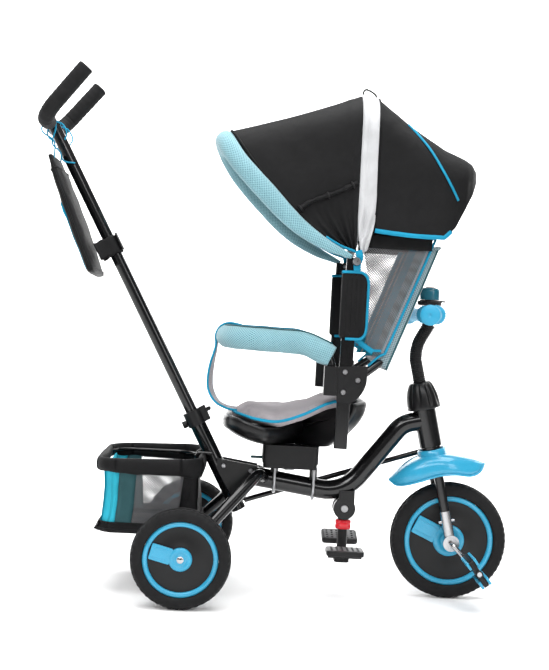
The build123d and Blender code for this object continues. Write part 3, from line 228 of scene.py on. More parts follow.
# ------------------------------------------------------------------ camera, light, floor
CAM = Vector((-0.07845, -2.585, 0.6054))
yaw, pitch, roll = radians(1.65), radians(-1.1), radians(3.02)
forward = Vector((sin(yaw) * cos(pitch), cos(yaw) * cos(pitch), sin(pitch)))
right = Vector((cos(yaw), -sin(yaw), 0))
up = right.cross(forward)
cam_right = right * cos(roll) + up * sin(roll)
cam_up = up * cos(roll) - right * sin(roll)
cam_data = bpy.data.cameras.new("camera")
cam_data.sensor_fit = "AUTO"
cam_data.sensor_width = 36
cam_data.lens = 63.7146
camera = bpy.data.objects.new("camera", cam_data)
bpy.context.scene.collection.objects.link(camera)
turn = Matrix((cam_right, cam_up, -forward)).transposed().to_4x4()
camera.matrix_world = Matrix.Translation(CAM) @ turn
bpy.context.scene.camera = camera


def area_light(name, place, target, size, power, tint=(1, 1, 1)):
    data = bpy.data.lights.new(name, "AREA")
    data.shape = "RECTANGLE"
    data.size, data.size_y = size
    data.energy = power
    data.color = tint
    light = bpy.data.objects.new(name, data)
    bpy.context.scene.collection.objects.link(light)
    light.location = place
    light.rotation_euler = (Vector(target) - Vector(place)).to_track_quat("-Z", "Y").to_euler()
    return light


area_light("key", (-1.6, -2.4, 2.6), (0, 0, 0.5), (1.2, 1.2), 36)
area_light("front_fill", (1.9, -2.6, 1.5), (0.1, 0, 0.5), (0.8, 1.6), 18)
area_light("top", (0.1, -0.2, 3.3), (0.1, -0.2, 0), (3.4, 3.0), 190)
area_light("floor_front", (0.0, -3.4, 2.6), (0.0, -1.6, 0), (3.0, 0.8), 50)
area_light("backdrop", (0.0, 2.6, 3.4), (0.0, 5.4, 1.0), (5.0, 1.0), 420)
area_light("back_left", (-2.4, 1.8, 1.6), (0, 0, 0.5), (1.0, 2.2), 30)
area_light("back_right", (2.4, 1.6, 1.4), (0, 0, 0.5), (1.0, 2.2), 30)
world = bpy.data.worlds.new("studio")
bpy.context.scene.world = world
world.use_nodes = True
world.node_tree.nodes["Background"].inputs["Color"].default_value = (1, 1, 1, 1)
world.node_tree.nodes["Background"].inputs["Strength"].default_value = 0.16
bpy.context.scene.view_settings.view_transform = "Standard"


# ------------------------------------------------------------------ materials
class Shade:
    """A node tree in short form."""

    def __init__(self, name):
        self.m = bpy.data.materials.new(name)
        self.m.use_nodes = True
        self.t = self.m.node_tree
        self.t.nodes.clear()
        self.out = self.n("OutputMaterial")
        self.b = self.n("BsdfPrincipled")
        self.link(self.b, 0, self.out, "Surface")
        self.place = self.n("TexCoord")

    def n(self, kind, **sets):
        node = self.t.nodes.new("ShaderNode" + kind)
        for key, value in sets.items():
            setattr(node, key, value)
        return node

    def link(self, a, out, b, into):
        self.t.links.new(a.outputs[out], b.inputs[into])

    def coords(self, kind="Object", scale=1.0, turn=(0, 0, 0)):
        mapping = self.n("Mapping")
        mapping.inputs["Scale"].default_value = (scale, scale, scale) if np.isscalar(scale) else scale
        mapping.inputs["Rotation"].default_value = turn
        self.link(self.place, kind, mapping, 0)
        return mapping

    def noise(self, scale, detail=3.0, kind="Object", rough=0.55):
        tex = self.n("TexNoise")
        tex.inputs["Scale"].default_value = scale
        tex.inputs["Detail"].default_value = detail
        tex.inputs["Roughness"].default_value = rough
        self.link(self.place, kind, tex, 0)
        return tex

    def ramp(self, source, out, stops):
        ramp = self.n("ValToRGB")
        while len(ramp.color_ramp.elements) < len(stops):
            ramp.color_ramp.elements.new(0.5)
        for element, (place, colour) in zip(ramp.color_ramp.elements, stops):
            element.position = place
            element.color = (*colour, 1) if len(colour) == 3 else colour
        self.link(source, out, ramp, 0)
        return ramp

    def math(self, kind, a, b=None, out_a=0, out_b=0):
        node = self.n("Math", operation=kind)
        self.link(a, out_a, node, 0)
        if isinstance(b, (int, float)):
            node.inputs[1].default_value = b
        elif b is not None:
            self.link(b, out_b, node, 1)
        return node

    def span(self, source, out, low, high):
        node = self.n("MapRange")
        node.inputs["To Min"].default_value = low
        node.inputs["To Max"].default_value = high
        self.link(source, out, node, 0)
        return node

    def bump(self, source, out, strength, distance=0.001, after=None):
        node = self.n("Bump")
        node.inputs["Strength"].default_value = strength
        node.inputs["Distance"].default_value = distance
        self.link(source, out, node, "Height")
        if after:
            self.link(after, 0, node, "Normal")
        self.link(node, 0, self.b, "Normal")
        return node

    def colour(self, source, stops):
        self.link(self.ramp(source, 0, stops), 0, self.b, "Base Color")

    def rough(self, source, low, high):
        self.link(self.span(source, 0, low, high), 0, self.b, "Roughness")

    def set(self, **values):
        for key, value in values.items():
            self.b.inputs[key.replace("_", " ")].default_value = value
        return self

    def threads(self, kind, pitch, turned=False, loose=0.35):
        """Two crossed sets of threads; returns their two waves, 0 to 1."""
        waves = []
        for axis in (0, 1):
            wave = self.n("TexWave", wave_type="BANDS", bands_direction="X" if axis == 0 else "Y")
            wave.inputs["Scale"].default_value = 1.0
            wave.inputs["Distortion"].default_value = loose
            wave.inputs["Detail"].default_value = 1.0
            wave.inputs["Detail Scale"].default_value = 0.4
            scale = 1 / (pitch * 3.2)
            self.link(self.coords(kind, scale, (0, 0, pi / 4 if turned else 0)), 0, wave, 0)
            waves.append(wave)
        return waves


def mix(c, k):
    return tuple(min(1, v * k) for v in c)


def tones(colour, low, high):
    return [(0.3, mix(colour, low)), (0.7, mix(colour, high))]


def paint(name, colour, rough=0.16):
    s = Shade(name)
    big = s.noise(9, 4)
    fine = s.noise(420, 2)
    s.colour(big, tones(colour, 0.85, 1.2))
    s.rough(big, rough * 0.7, rough * 1.5)
    s.bump(fine, 0, 0.035, 0.0004)
    s.set(Coat_Weight=0.25, Coat_Roughness=0.06, Specular_IOR_Level=0.4)
    return s.m


def plastic(name, colour, rough=0.4, grain=900, depth=0.12, coat=0.0, dirt=1.15):
    s = Shade(name)
    big = s.noise(14, 4)
    fine = s.noise(grain, 3)
    s.colour(big, [(0.3, mix(colour, 0.9)), (0.72, mix(colour, dirt))])
    s.rough(fine, rough * 0.8, rough * 1.25)
    s.bump(fine, 0, depth, 0.0005)
    s.set(Coat_Weight=coat, Coat_Roughness=0.12, Specular_IOR_Level=0.3)
    return s.m


def metal(name, colour, rough=0.2):
    s = Shade(name)
    big = s.noise(40, 4)
    brushed = s.n("TexNoise")
    brushed.inputs["Scale"].default_value = 1.0
    brushed.inputs["Detail"].default_value = 2
    s.link(s.coords("Object", (90, 1500, 90)), 0, brushed, 0)
    s.colour(big, [(0.3, mix(colour, 0.8)), (0.7, colour)])
    s.rough(brushed, rough * 0.6, rough * 1.5)
    s.bump(brushed, 0, 0.05, 0.0003)
    s.set(Metallic=1.0)
    return s.m


def cloth(name, colour, pitch=0.0016, rough=0.85, depth=0.35, sheen=0.35, melange=0.0, kind="UV", fold=0.0):
    s = Shade(name)
    wx, wy = s.threads(kind, pitch)
    over = s.math("MAXIMUM", wx, wy)
    big = s.noise(16, 5)
    fleck = s.noise(700, 3, rough=0.8)
    tone = s.ramp(big, 0, tones(colour, 0.86, 1.14))
    base = s.n("MixRGB", blend_type="MULTIPLY")
    base.inputs[0].default_value = 1.0
    low = 1 - 0.45 * max(melange, 0.25)
    weave = s.ramp(over, 0, [(0.35, (low, low, low)), (0.9, (1, 1, 1))])
    s.link(tone, 0, base, 1)
    s.link(weave, 0, base, 2)
    last = base
    if melange:
        last = s.n("MixRGB", blend_type="MULTIPLY")
        last.inputs[0].default_value = melange
        s.link(base, 0, last, 1)
        s.link(s.ramp(fleck, 0, [(0.36, (0.35, 0.34, 0.36)), (0.5, (1, 1, 1)), (0.68, (1.0, 0.97, 0.95))]), 0, last,
            2)
    s.link(last, 0, s.b, "Base Color")
    s.rough(over, rough, rough * 0.85)
    first = s.n("Bump")
    first.inputs["Strength"].default_value = fold
    first.inputs["Distance"].default_value = 0.01
    s.link(s.noise(22, 2), 0, first, "Height")
    s.bump(over, 0, depth, 0.0006, first)
    s.set(Sheen_Weight=sheen, Sheen_Roughness=0.4, Sheen_Tint=(*mix(colour, 2.0), 1), Specular_IOR_Level=0.14)
    return s.m


def padmesh(name, light, dark, pitch=0.0042, kind="UV"):
    """Padded spacer mesh: rows of small diamond holes; the holes take the dark colour as painted shade in their
    recesses.
    """
    s = Shade(name)
    wx, wy = s.threads(kind, pitch, True)
    cell = s.math("MULTIPLY", wx, wy)
    big = s.noise(20, 4)
    base = s.n("MixRGB", blend_type="MULTIPLY")
    base.inputs[0].default_value = 1.0
    # painted shade: the recessed holes get the dark colour, the threads keep the light one
    s.link(s.ramp(cell, 0, [(0.10, light), (0.45, dark)]), 0, base, 1)
    s.link(s.ramp(big, 0, [(0.3, (0.88, 0.88, 0.88)), (0.7, (1, 1, 1))]), 0, base, 2)
    s.link(base, 0, s.b, "Base Color")
    s.rough(cell, 0.72, 0.95)
    down = s.math("MULTIPLY", cell, -1.0)
    s.bump(down, 0, 0.6, 0.0015)
    s.set(Sheen_Weight=0.3, Sheen_Roughness=0.5)
    return s.m


def netting(name, colour, pitch=0.0055, cover=0.42, kind="UV"):
    """Open mesh cloth: threads with clear holes between them."""
    s = Shade(name)
    wx, wy = s.threads(kind, pitch, True, 0.02)
    over = s.math("MAXIMUM", wx, wy)
    big = s.noise(30, 3)
    s.colour(big, tones(colour, 0.85, 1.1))
    hole = s.math("GREATER_THAN", over, 1 - cover)
    s.link(hole, 0, s.b, "Alpha")
    s.bump(over, 0, 0.4, 0.0006)
    s.set(Roughness=0.7, Sheen_Weight=0.2)
    return s.m


def foam(name, colour, rough=0.8):
    s = Shade(name)
    fine = s.noise(1600, 4, rough=0.7)
    big = s.noise(30, 4)
    s.colour(big, tones(colour, 0.8, 1.3))
    s.rough(fine, rough * 0.85, 1.0)
    s.bump(fine, 0, 0.35, 0.0008)
    s.set(Sheen_Weight=0.02, Sheen_Roughness=0.5, Specular_IOR_Level=0.2)
    return s.m


BLUE = (0.030, 0.31, 0.50)
black_paint = paint("black_gloss_paint", (0.004, 0.004, 0.0045))
black_satin = plastic("black_satin_plastic", (0.005, 0.005, 0.0055), 0.4)
black_gloss = plastic("black_gloss_plastic", (0.0045, 0.0045, 0.005), 0.32, 500, 0.04, 0.08)
black_rib = plastic("black_soft_plastic", (0.007, 0.007, 0.0075), 0.5)
blue_gloss = plastic("blue_gloss_plastic", BLUE, 0.26, 600, 0.03, 0.5, 1.06)
blue_satin = plastic("blue_satin_plastic", BLUE, 0.42, 700, 0.06, 0.1, 1.06)
red_gloss = plastic("red_gloss_plastic", (0.62, 0.008, 0.02), 0.22, 600, 0.03, 0.5)
tyre_foam = foam("foam_tyre", (0.008, 0.008, 0.0085), 0.6)
grip_foam = foam("foam_grip", (0.009, 0.009, 0.0095), 0.7)
chrome = metal("bright_steel", (0.50, 0.50, 0.51), 0.22)
screw_steel = metal("screw_steel", (0.42, 0.42, 0.43), 0.3)
bell_paint = paint("teal_metallic", (0.012, 0.12, 0.17), 0.2)
black_cloth = cloth("black_polyester", (0.0075, 0.0075, 0.008), 0.0015, 0.7, 0.3, 0.05, fold=0.3)
black_cloth_near = cloth("black_polyester_lining", (0.009, 0.009, 0.0095), 0.0018, 0.8, 0.3, 0.05, kind="Object")
grey_stripe = cloth("light_grey_polyester", (0.50, 0.505, 0.515), 0.0015, 0.7, 0.25, 0.25, fold=0.35)
melange = cloth("grey_melange", (0.42, 0.385, 0.40), 0.0018, 0.9, 0.4, 0.35, melange=0.7, fold=0.15)
binding = cloth("blue_binding", (0.012, 0.255, 0.42), 0.0012, 0.7, 0.35, 0.1)
teal_cloth = cloth("turquoise_polyester", (0.030, 0.42, 0.56), 0.0015, 0.75, 0.25, 0.15, fold=0.4)
teal_tape = cloth("teal_tape", (0.012, 0.20, 0.30), 0.0015, 0.75, 0.25, 0.1)
dark_teal = cloth("dark_teal_tape", (0.03, 0.085, 0.095), 0.0015, 0.8, 0.3, 0.3)
# pale_mesh and blue_net: the second colour is painted shade for the mesh's holes
pale_mesh = padmesh("pale_blue_spacer_mesh", (0.25, 0.47, 0.53), (0.07, 0.20, 0.24), 0.0036)
grey_net = netting("grey_net", (0.13, 0.13, 0.135), 0.0038, 0.28)
blue_net = padmesh("blue_grey_mesh", (0.26, 0.36, 0.39), (0.06, 0.10, 0.115), 0.004)
black_net = netting("basket_net", (0.11, 0.11, 0.115), 0.0038, 0.24)


# ------------------------------------------------------------------ mesh helpers
def obj(name, verts, faces, mat, smooth=True, uv=None):
    mesh = bpy.data.meshes.new(name)
    mesh.from_pydata([tuple(v) for v in verts], [], faces)
    mesh.validate()
    if uv is not None:
        layer = mesh.uv_layers.new(name="UVMap")
        for loop in mesh.loops:
            layer.data[loop.index].uv = uv[loop.vertex_index]
    for poly in mesh.polygons:
        poly.use_smooth = smooth
    mesh.materials.append(mat)
    thing = bpy.data.objects.new(name, mesh)
    bpy.context.scene.collection.objects.link(thing)
    return thing


def grid(name, points, mat, wrap=False, caps=False):
    """A surface over a rows x columns array of points; wrap joins the last column to the first."""
    p = np.asarray(points, float)
    rows, cols = p.shape[:2]
    if wrap:                                   # repeat the seam so the cloth's weave runs clean
        p = np.concatenate([p, p[:, :1]], axis=1)
        cols += 1
    du = np.zeros((rows, cols))
    du[:, 1:] = np.cumsum(np.linalg.norm(np.diff(p, axis=1), axis=2), axis=1)
    dv = np.zeros((rows, cols))
    dv[1:] = np.cumsum(np.linalg.norm(np.diff(p, axis=0), axis=2), axis=0)
    u = du - du[:, -1:] / 2
    v = np.repeat(dv.mean(axis=1, keepdims=True), cols, axis=1)
    uv = np.stack([u, v], axis=2).reshape(-1, 2)
    faces = []
    for i in range(rows - 1):
        for j in range(cols - 1):
            a = i * cols + j
            faces.append((a, a + 1, a + cols + 1, a + cols))
    verts = list(p.reshape(-1, 3))
    uv = [tuple(t) for t in uv]
    if caps:
        for row in (0, rows - 1):
            verts.append(p[row, :cols - 1 if wrap else cols].mean(axis=0))
            uv.append((0.0, float(v[row, 0])))
            c = len(verts) - 1
            for j in range(cols - 1):
                a = row * cols + j
                faces.append((a + 1, a, c) if row == 0 else (a, a + 1, c))
    thing = obj(name, verts, faces, mat, True, uv)
    if wrap:
        bm = bmesh.new()
        bm.from_mesh(thing.data)
        bmesh.ops.remove_doubles(bm, verts=bm.verts, dist=1e-6)
        bmesh.ops.recalc_face_normals(bm, faces=bm.faces)
        bm.to_mesh(thing.data)
        bm.free()
    return thing


def thicken(thing, t, offset=0.0):
    m = thing.modifiers.new("thickness", "SOLIDIFY")
    m.thickness = t
    m.offset = offset
    return thing


def soften(thing, width, segments=3, angle=35):
    m = thing.modifiers.new("edges", "BEVEL")
    m.width = width
    m.segments = segments
    m.limit_method = "ANGLE"
    m.angle_limit = radians(angle)
    m.harden_normals = False
    return thing


def subdivide(thing, levels=1):
    m = thing.modifiers.new("smooth", "SUBSURF")
    m.levels = levels
    m.render_levels = levels
    return thing


def distances(line):
    """How far along a line each of its points lies."""
    return np.concatenate([[0], np.cumsum(np.linalg.norm(np.diff(line, axis=0), axis=1))])


def resample(want, step, line):
    return np.stack([np.interp(want, step, line[:, k]) for k in range(line.shape[1])], axis=1)


def curve(points, count=60, closed=False):
    """A smooth line through points, evenly spaced."""
    p = np.asarray(points, float)
    n = len(p)
    out = []
    spans = n if closed else n - 1
    for i in range(spans):
        p0 = p[(i - 1) % n] if closed or i > 0 else 2 * p[0] - p[1]
        p1, p2 = p[i % n], p[(i + 1) % n]
        p3 = p[(i + 2) % n] if closed or i + 2 < n else 2 * p[-1] - p[-2]
        for t in np.linspace(0, 1, 16, endpoint=False):
            out.append(0.5 * (2 * p1 + (p2 - p0) * t + (2 * p0 - 5 * p1 + 4 * p2 - p3) * t * t
                + (3 * p1 - p0 - 3 * p2 + p3) * t ** 3))
    out.append(p[0] if closed else p[-1])
    out = np.array(out)
    step = distances(out)
    line = resample(np.linspace(0, step[-1], count + (1 if closed else 0)), step, out)
    return line[:-1] if closed else line


def rounded(points, radius, count=80):
    """Straight runs joined by arcs of about this radius."""
    p = [np.asarray(q, float) for q in points]
    out = [p[0]]
    for a, b, c in zip(p, p[1:], p[2:]):
        u, v = (a - b), (c - b)
        lu, lv = np.linalg.norm(u), np.linalg.norm(v)
        u, v = u / lu, v / lv
        half = acos(max(-1, min(1, float(u @ v)))) / 2
        cut = min(radius / tan(half), lu * 0.5, lv * 0.5)
        s, e = b + u * cut, b + v * cut
        for t in np.linspace(0, 1, 9):
            out.append((1 - t) ** 2 * s + 2 * t * (1 - t) * (b * 0.62 + (s + e) / 2 * 0.38) + t * t * e)
    out.append(p[-1])
    out = np.array(out)
    step = distances(out)
    keep = np.concatenate([[True], np.diff(step) > 1e-7])
    out, step = out[keep], step[keep]
    return resample(np.linspace(0, step[-1], count), step, out)


def frames(line, side=None, closed=False):
    """Two directions square to a line at each of its points, without twist."""
    line = np.asarray(line, float)
    tang = np.gradient(line, axis=0)
    if closed:
        tang[0] = tang[-1] = line[1] - line[-2]
    tang /= np.linalg.norm(tang, axis=1)[:, None]
    a = np.asarray(side if side is not None else (0, 1, 0), float)
    us, vs = [], []
    for t in tang:
        a = a - t * (a @ t)
        a = a / np.linalg.norm(a)
        us.append(a)
        vs.append(np.cross(t, a))
    return np.array(us), np.array(vs)


def sweep(name, line, radius, mat, sides=20, caps=True, flat=1.0, side=None, closed=False):
    """A tube along a line. radius is a number or a function of 0..1; flat squeezes one way."""
    us, vs = frames(line, side, closed)
    n = len(line)
    ang = np.linspace(0, 2 * pi, sides, endpoint=False)
    rows = []
    for i in range(n):
        t = i / (n - 1)
        r = radius(t) if callable(radius) else radius
        f = flat(t) if callable(flat) else flat
        rows.append([line[i] + us[i] * cos(q) * r + vs[i] * sin(q) * r * f for q in ang])
    return grid(name, rows, mat, wrap=True, caps=caps and not closed)


def hoop(centre, u, v, radius, steps, thick, mat, flat=1.0):
    """A thin closed ring round centre, in the plane of u and v."""
    ring = [centre + (u * cos(q) + v * sin(q) * flat) * radius for q in np.linspace(0, 2 * pi, steps)]
    return sweep("p", np.array(ring), thick, mat, 8, closed=True, side=tuple(np.cross(u, v)))


def lathe(name, profile, origin, axis, mat, steps=96, wobble=None):
    """profile is (radius, along) in millimetres, turned about an axis through origin."""
    axis = np.asarray(axis, float) / np.linalg.norm(axis)
    u = np.cross(axis, (0.0, 1.0, 0.0))
    if np.linalg.norm(u) < 0.1:
        u = np.cross(axis, (0.0, 0.0, 1.0))
    u /= np.linalg.norm(u)
    v = np.cross(axis, u)
    rows = []
    for k, (r, h) in enumerate(profile):
        ring = []
        for s in range(steps):
            q = 2 * pi * s / steps
            rr = r + (wobble(k, q, r, h) if wobble else 0)
            ring.append(origin + (u * cos(q) + v * sin(q)) * rr / 1000 + axis * h / 1000)
        rows.append(ring)
    return grid(name, rows, mat, wrap=True)


def prism(name, outline, origin, u, v, depth, mat, bevel=0.0, segments=3):
    """An outline in millimetres, along u and v, made depth millimetres thick along u x v."""
    u, v = np.asarray(u, float), np.asarray(v, float)
    w = np.cross(u, v)
    base = [origin + (u * a + v * b) / 1000 - w * depth / 2000 for a, b in outline]
    top = [q + w * depth / 1000 for q in base]
    n = len(outline)
    faces = [tuple(range(n))[::-1], tuple(range(n, 2 * n))]
    faces += [(i, (i + 1) % n, (i + 1) % n + n, i + n) for i in range(n)]
    thing = obj(name, base + top, faces, mat, True)
    if bevel:
        soften(thing, bevel / 1000, segments)
    return thing


def oval(half_a, half_b, corner, steps=6):
    """A rounded rectangle's outline in millimetres."""
    out = []
    corner = min(corner, half_a, half_b)
    for k, (sa, sb) in enumerate(((1, 1), (-1, 1), (-1, -1), (1, -1))):
        for t in np.linspace(0, pi / 2, steps):
            q = t + k * pi / 2
            out.append((sa * (half_a - corner) + corner * cos(q), sb * (half_b - corner) + corner * sin(q)))
    return out


def join(name, parts):
    """One object from several that share a body."""
    deps = bpy.context.evaluated_depsgraph_get()
    deps.update()
    bm = bmesh.new()
    mats = []
    meshes = []
    for part in parts:
        mesh = bpy.data.meshes.new_from_object(part.evaluated_get(deps))
        mesh.transform(part.matrix_world)
        if not mesh.uv_layers:
            mesh.uv_layers.new(name="UVMap")
        slots = [m for m in mesh.materials]
        where = []
        for m in slots:
            if m not in mats:
                mats.append(m)
            where.append(mats.index(m))
        for poly in mesh.polygons:
            poly.material_index = where[poly.material_index]
        meshes.append(mesh)
    for mesh in meshes:
        bm.from_mesh(mesh)
    out = bpy.data.meshes.new(name)
    bm.to_mesh(out)
    bm.free()
    for m in mats:
        out.materials.append(m)
    for part in parts:
        bpy.data.objects.remove(part)
    thing = bpy.data.objects.new(name, out)
    bpy.context.scene.collection.objects.link(thing)
    return thing


def place(thing, body, slot, *replaced):
    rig.ride(thing, body)
    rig.slot(thing, slot)
    if replaced:
        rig.replaces(thing, *replaced)
    return thing


# ------------------------------------------------------------------ CAD nodes that stay
LOOKS = {
    black_paint: "backbone_tube head_tube handle_socket rear_frame fork handlebar handle_tube handle_shaft "
    "steering_rod safety_bar back_frame seat_posts basket_rim",
    chrome: "rear_axle fork_ends crank",
    screw_steel: "frame_bolts seat_bolts",
    black_satin: "head_bushes seat_mount swivel_housing hinge_plates clamp_collar clamp_lever "
    "pull_knob bell_lever",
    black_gloss: "frame_brackets",
    dark_teal: "seat_lever",
}
for look, names in LOOKS.items():
    for name in names.split():
        mesh = nodes[name].data
        mesh.materials.clear()
        mesh.materials.append(look)

# ------------------------------------------------------------------ wheels
def wheel(tag, body, x, y, radius, seat, ring, hub, spoke, replaced, slots):
    centre = at(x, y, radius)
    axle = (0, 1, 0)
    blocks = 46 if radius < 110 else 58

    def tread(k, q, r, h):
        edge = abs(h)
        if r > radius - 7 and edge > 9:
            return -1.6 if (q * blocks / (2 * pi)) % 1 < 0.34 else 0
        return 0

    half = 21
    profile = [(seat, -half + 2), (seat + 5, -half + 0.5), (seat + 12, -half), (radius - 8, -half + 1.5),
        (radius - 3.5, -half + 5), (radius - 1.6, -half + 9), (radius - 0.8, -9.2), (radius - 3.4, -8.6),
        (radius - 3.4, -5.6), (radius - 0.4, -5), (radius, -1), (radius, 1), (radius - 0.4, 5),
        (radius - 3.4, 5.6), (radius - 3.4, 8.6), (radius - 0.8, 9.2), (radius - 1.6, half - 9),
        (radius - 3.5, half - 5), (radius - 8, half - 1.5), (seat + 12, half), (seat + 5, half - 0.5),
        (seat, half - 2), (seat - 0.2, half - 6), (seat - 0.2, -half + 6), (seat, -half + 2)]
    tyre = lathe(f"tyre_{tag}", profile, centre, axle, tyre_foam, blocks * 6, tread)
    place(tyre, body, slots[0], replaced[0])
    disc = lathe(f"disc_{tag}", [(6, -12), (hub + 4, -12), (hub + 6, -10.5), (ring[1] - 3, -10.5), (seat - 1, -12),
        (seat - 0.4, -11), (seat - 0.4, 11), (seat - 1, 12), (ring[1] - 3, 10.5),
        (hub + 6, 10.5), (hub + 4, 12), (6, 12), (6, -12)], centre, axle, black_satin, 96)
    place(disc, body, slots[1], replaced[1])
    parts = []
    for s in (-1, 1):
        face = 11.8
        rim_profile = [(ring[1], face - 1), (ring[1] + 0.3, face + 3.6), (ring[1] + 2.2, face + 5.6),
            ((ring[0] + ring[1]) / 2, face + 6), (ring[0] - 2.4, face + 5), (ring[0] - 0.4, face + 3),
            (ring[0] - 0.4, face - 1)]
        parts.append(lathe(f"p_{tag}", [(r, h * s) for r, h in rim_profile], centre, axle, blue_gloss, 96))
        hub_profile = [(hub, face - 1), (hub - 0.4, face + 3.5), (hub - 3, face + 5.6), (hub * 0.62, face + 6),
            (hub * 0.58, face + 4.6), (hub * 0.42, face + 4.6), (hub * 0.38, face + 5.8),
            (7, face + 5.8), (6.4, face)]
        parts.append(lathe(f"p_{tag}", [(r, h * s) for r, h in hub_profile], centre, axle, blue_gloss, 64))
        q = radians(spoke[1])
        u = np.array((cos(q), 0, sin(q)))
        v = np.array((-sin(q), 0, cos(q)))
        start, end = hub - 5, ring[1] - 3.5
        middle = centre + np.array((0, s * (face + 2.2) / 1000, 0)) + u * (start + end) / 2000
        parts.append(prism(f"p_{tag}", oval((end - start) / 2, spoke[0] / 2, 3), middle, u, v, 5.6, blue_gloss,
            1.4))
        # two fine mould lines along the spoke
        for off in (-0.3, 0.3):
            a = centre + np.array((0, s * (face + 5.05) / 1000, 0)) + u * (hub
                + 2) / 1000 + v * off * spoke[0] / 1000
            b = a + u * (end - hub - 8) / 1000
            parts.append(sweep(f"p_{tag}", np.linspace(a, b, 8), 0.0005, blue_satin, 8))
    trim = join(f"trim_{tag}", parts)
    place(trim, body, slots[2], replaced[2])


for tag, y in (("left", 210), ("right", -210)):
    wheel(f"rear_{tag}", f"rear_wheel_{tag}", 0, y, REAR_R, 77, (77, 66), 24, (33, 165.5),
        (f"rear_tyre_{tag}", f"rear_rim_{tag}", f"rear_trim_{tag}"),
        ("tyre_black", "black_plastic", "blue_plastic"))
wheel("front", "front_wheel", WHEELBASE, 0, FRONT_R, 98, (98, 86), 34.5, (41, 155),
    ("front_tyre", "front_rim", "front_trim"), ("tyre_black", "black_plastic", "blue_plastic"))

# Domed caps with a washer on the ends of the rear axle.
caps = []
for s in (-1, 1):
    caps.append(lathe("p", [(11, s * 0.4), (11, s * 1.6), (8.2, s * 1.8), (7.8, s * 4.2), (5.5, s * 6.0),
        (0.01, s * 6.8)],
        at(0, s * 222.2, REAR_R), Y, chrome, 40))
place(join("axle_caps", caps), "frame", "bright_steel")

# ------------------------------------------------------------------ mudguard
crest = curve([(438, 255), (462, 281), (488, 300), (520, 314), (560, 317), (612, 309.5), (636, 303), (646, 299)],
    40)
edge = curve([(439, 252.5), (456, 244), (500, 258), (537, 272), (575, 276.5), (612, 274), (634, 283),
    (645.5, 297.5)], 40)
wide = curve([(0, 4), (12, 32), (40, 47), (80, 53.5), (125, 53.5), (165, 44), (196, 27), (206, 5)], 40)
rows = []
for i in range(40):
    row = []
    for a in np.linspace(-pi / 2, pi / 2, 25):
        s, c = sin(a), cos(a)
        y = np.sign(s) * abs(s) ** 0.55 * wide[i, 1]
        k = abs(c) ** 0.62
        row.append(at(edge[i, 0] + (crest[i, 0] - edge[i, 0]) * k, y, edge[i, 1] + (crest[i, 1] - edge[i, 1]) * k))
    rows.append(row)
guard_top = thicken(grid("p", rows, blue_gloss), 0.0026, 1.0)
lip_line = [r[0] for r in rows] + [r[-1] for r in rows[::-1]]
lip = sweep("p", np.array(lip_line + [lip_line[0]]), 0.0021, blue_gloss, 10, closed=True, side=Z)
collar = lathe("p", [(54, 158), (47, 164), (39, 172), (33.5, 182), (31.2, 192), (31, 202), (29, 203.2), (27, 202),
    (27, 180), (33, 170), (45, 158), (54, 158)],
    steer(0, 0, 0), STEER_UP, blue_gloss, 64)
place(join("mudguard_hood", [guard_top, lip, collar]), "fork", "blue_plastic", "mudguard")

# ------------------------------------------------------------------ stem cover, bellows, grips, bell
def flute(k, q, r, h):
    depth = 2.6 * sin(pi * min(1, max(0, (h - 296) / 60)))
    return -depth * max(0, cos(q * 10)) ** 2 if r > 14 else 0


stem_cover = lathe("stem_cover_shell", [(13.2, 292.7), (35.6, 292.7), (36.4, 294), (36.4, 299), (36, 306),
    (35.2, 314), (34, 322), (32, 330),
    (29.5, 338), (26.5, 345), (23.5, 349.6), (20.5, 351.4), (13.2, 351.6), (13.2, 292.7)],
    steer(0, 0, 0), STEER_UP, black_gloss, 160, flute)
place(stem_cover, "fork", "black_plastic", "stem_cover")

corner = steer(0, 0, 424)
bar_mid = at(520, 0, 618)
bellow_line = rounded([steer(0, 0, 351), corner, corner + (bar_mid - corner) * 0.74], 0.062, 340)
total = np.linalg.norm(np.diff(bellow_line, axis=0), axis=1).sum() * 1000
ridges = total / 4.3
bellows = sweep("bellows", bellow_line, lambda t: 0.0122 + 0.0021 * abs(sin(pi * ridges * t)) ** 0.8, black_rib, 28)
place(bellows, "fork", "black_plastic", "stem_bellows")

grip_parts = []
for s in (-1, 1):
    inner = at(510, s * 75, 617.7)
    end = at(484, s * 158, 616)
    way = end - inner
    length = np.linalg.norm(way) * 1000

    def ribs(k, q, r, h, s=s, length=length):
        if 16 < h < length - 14 and r > 12:
            return 0.5 * cos(q * 18)
        if h < 8 and r > 18:
            return 0.9 * cos(q * 22)
        return 0

    profile = [(9, -0.5), (18, -0.5), (20.4, 0.8), (21, 3), (20.4, 5.6), (17.5, 7.2), (15, 8.6), (14.2, 12)]
    profile += [(14.2 + 0.35 * sin(k * 1.3), 16 + k * (length - 34) / 24) for k in range(25)]
    profile += [(14.6, length - 15), (17, length - 10), (20.6, length - 6.5), (21.6, length - 3),
        (21.2, length + 0.6),
        (18.6, length + 3.6), (13, length + 5.4), (7, length + 6), (2.6, length + 6.1), (1.9, length + 4.8),
        (0.01, length + 4.6)]
    grip_parts.append(lathe("p", profile, inner, way, blue_satin, 88, ribs))
place(join("bar_grips", grip_parts), "fork", "blue_plastic", "grips")


def teeth(k, q, r, h):
    return (0.9 if cos(q * 26) > 0 else -0.9) if r > 23 and 1.2 < h < 10 else 0


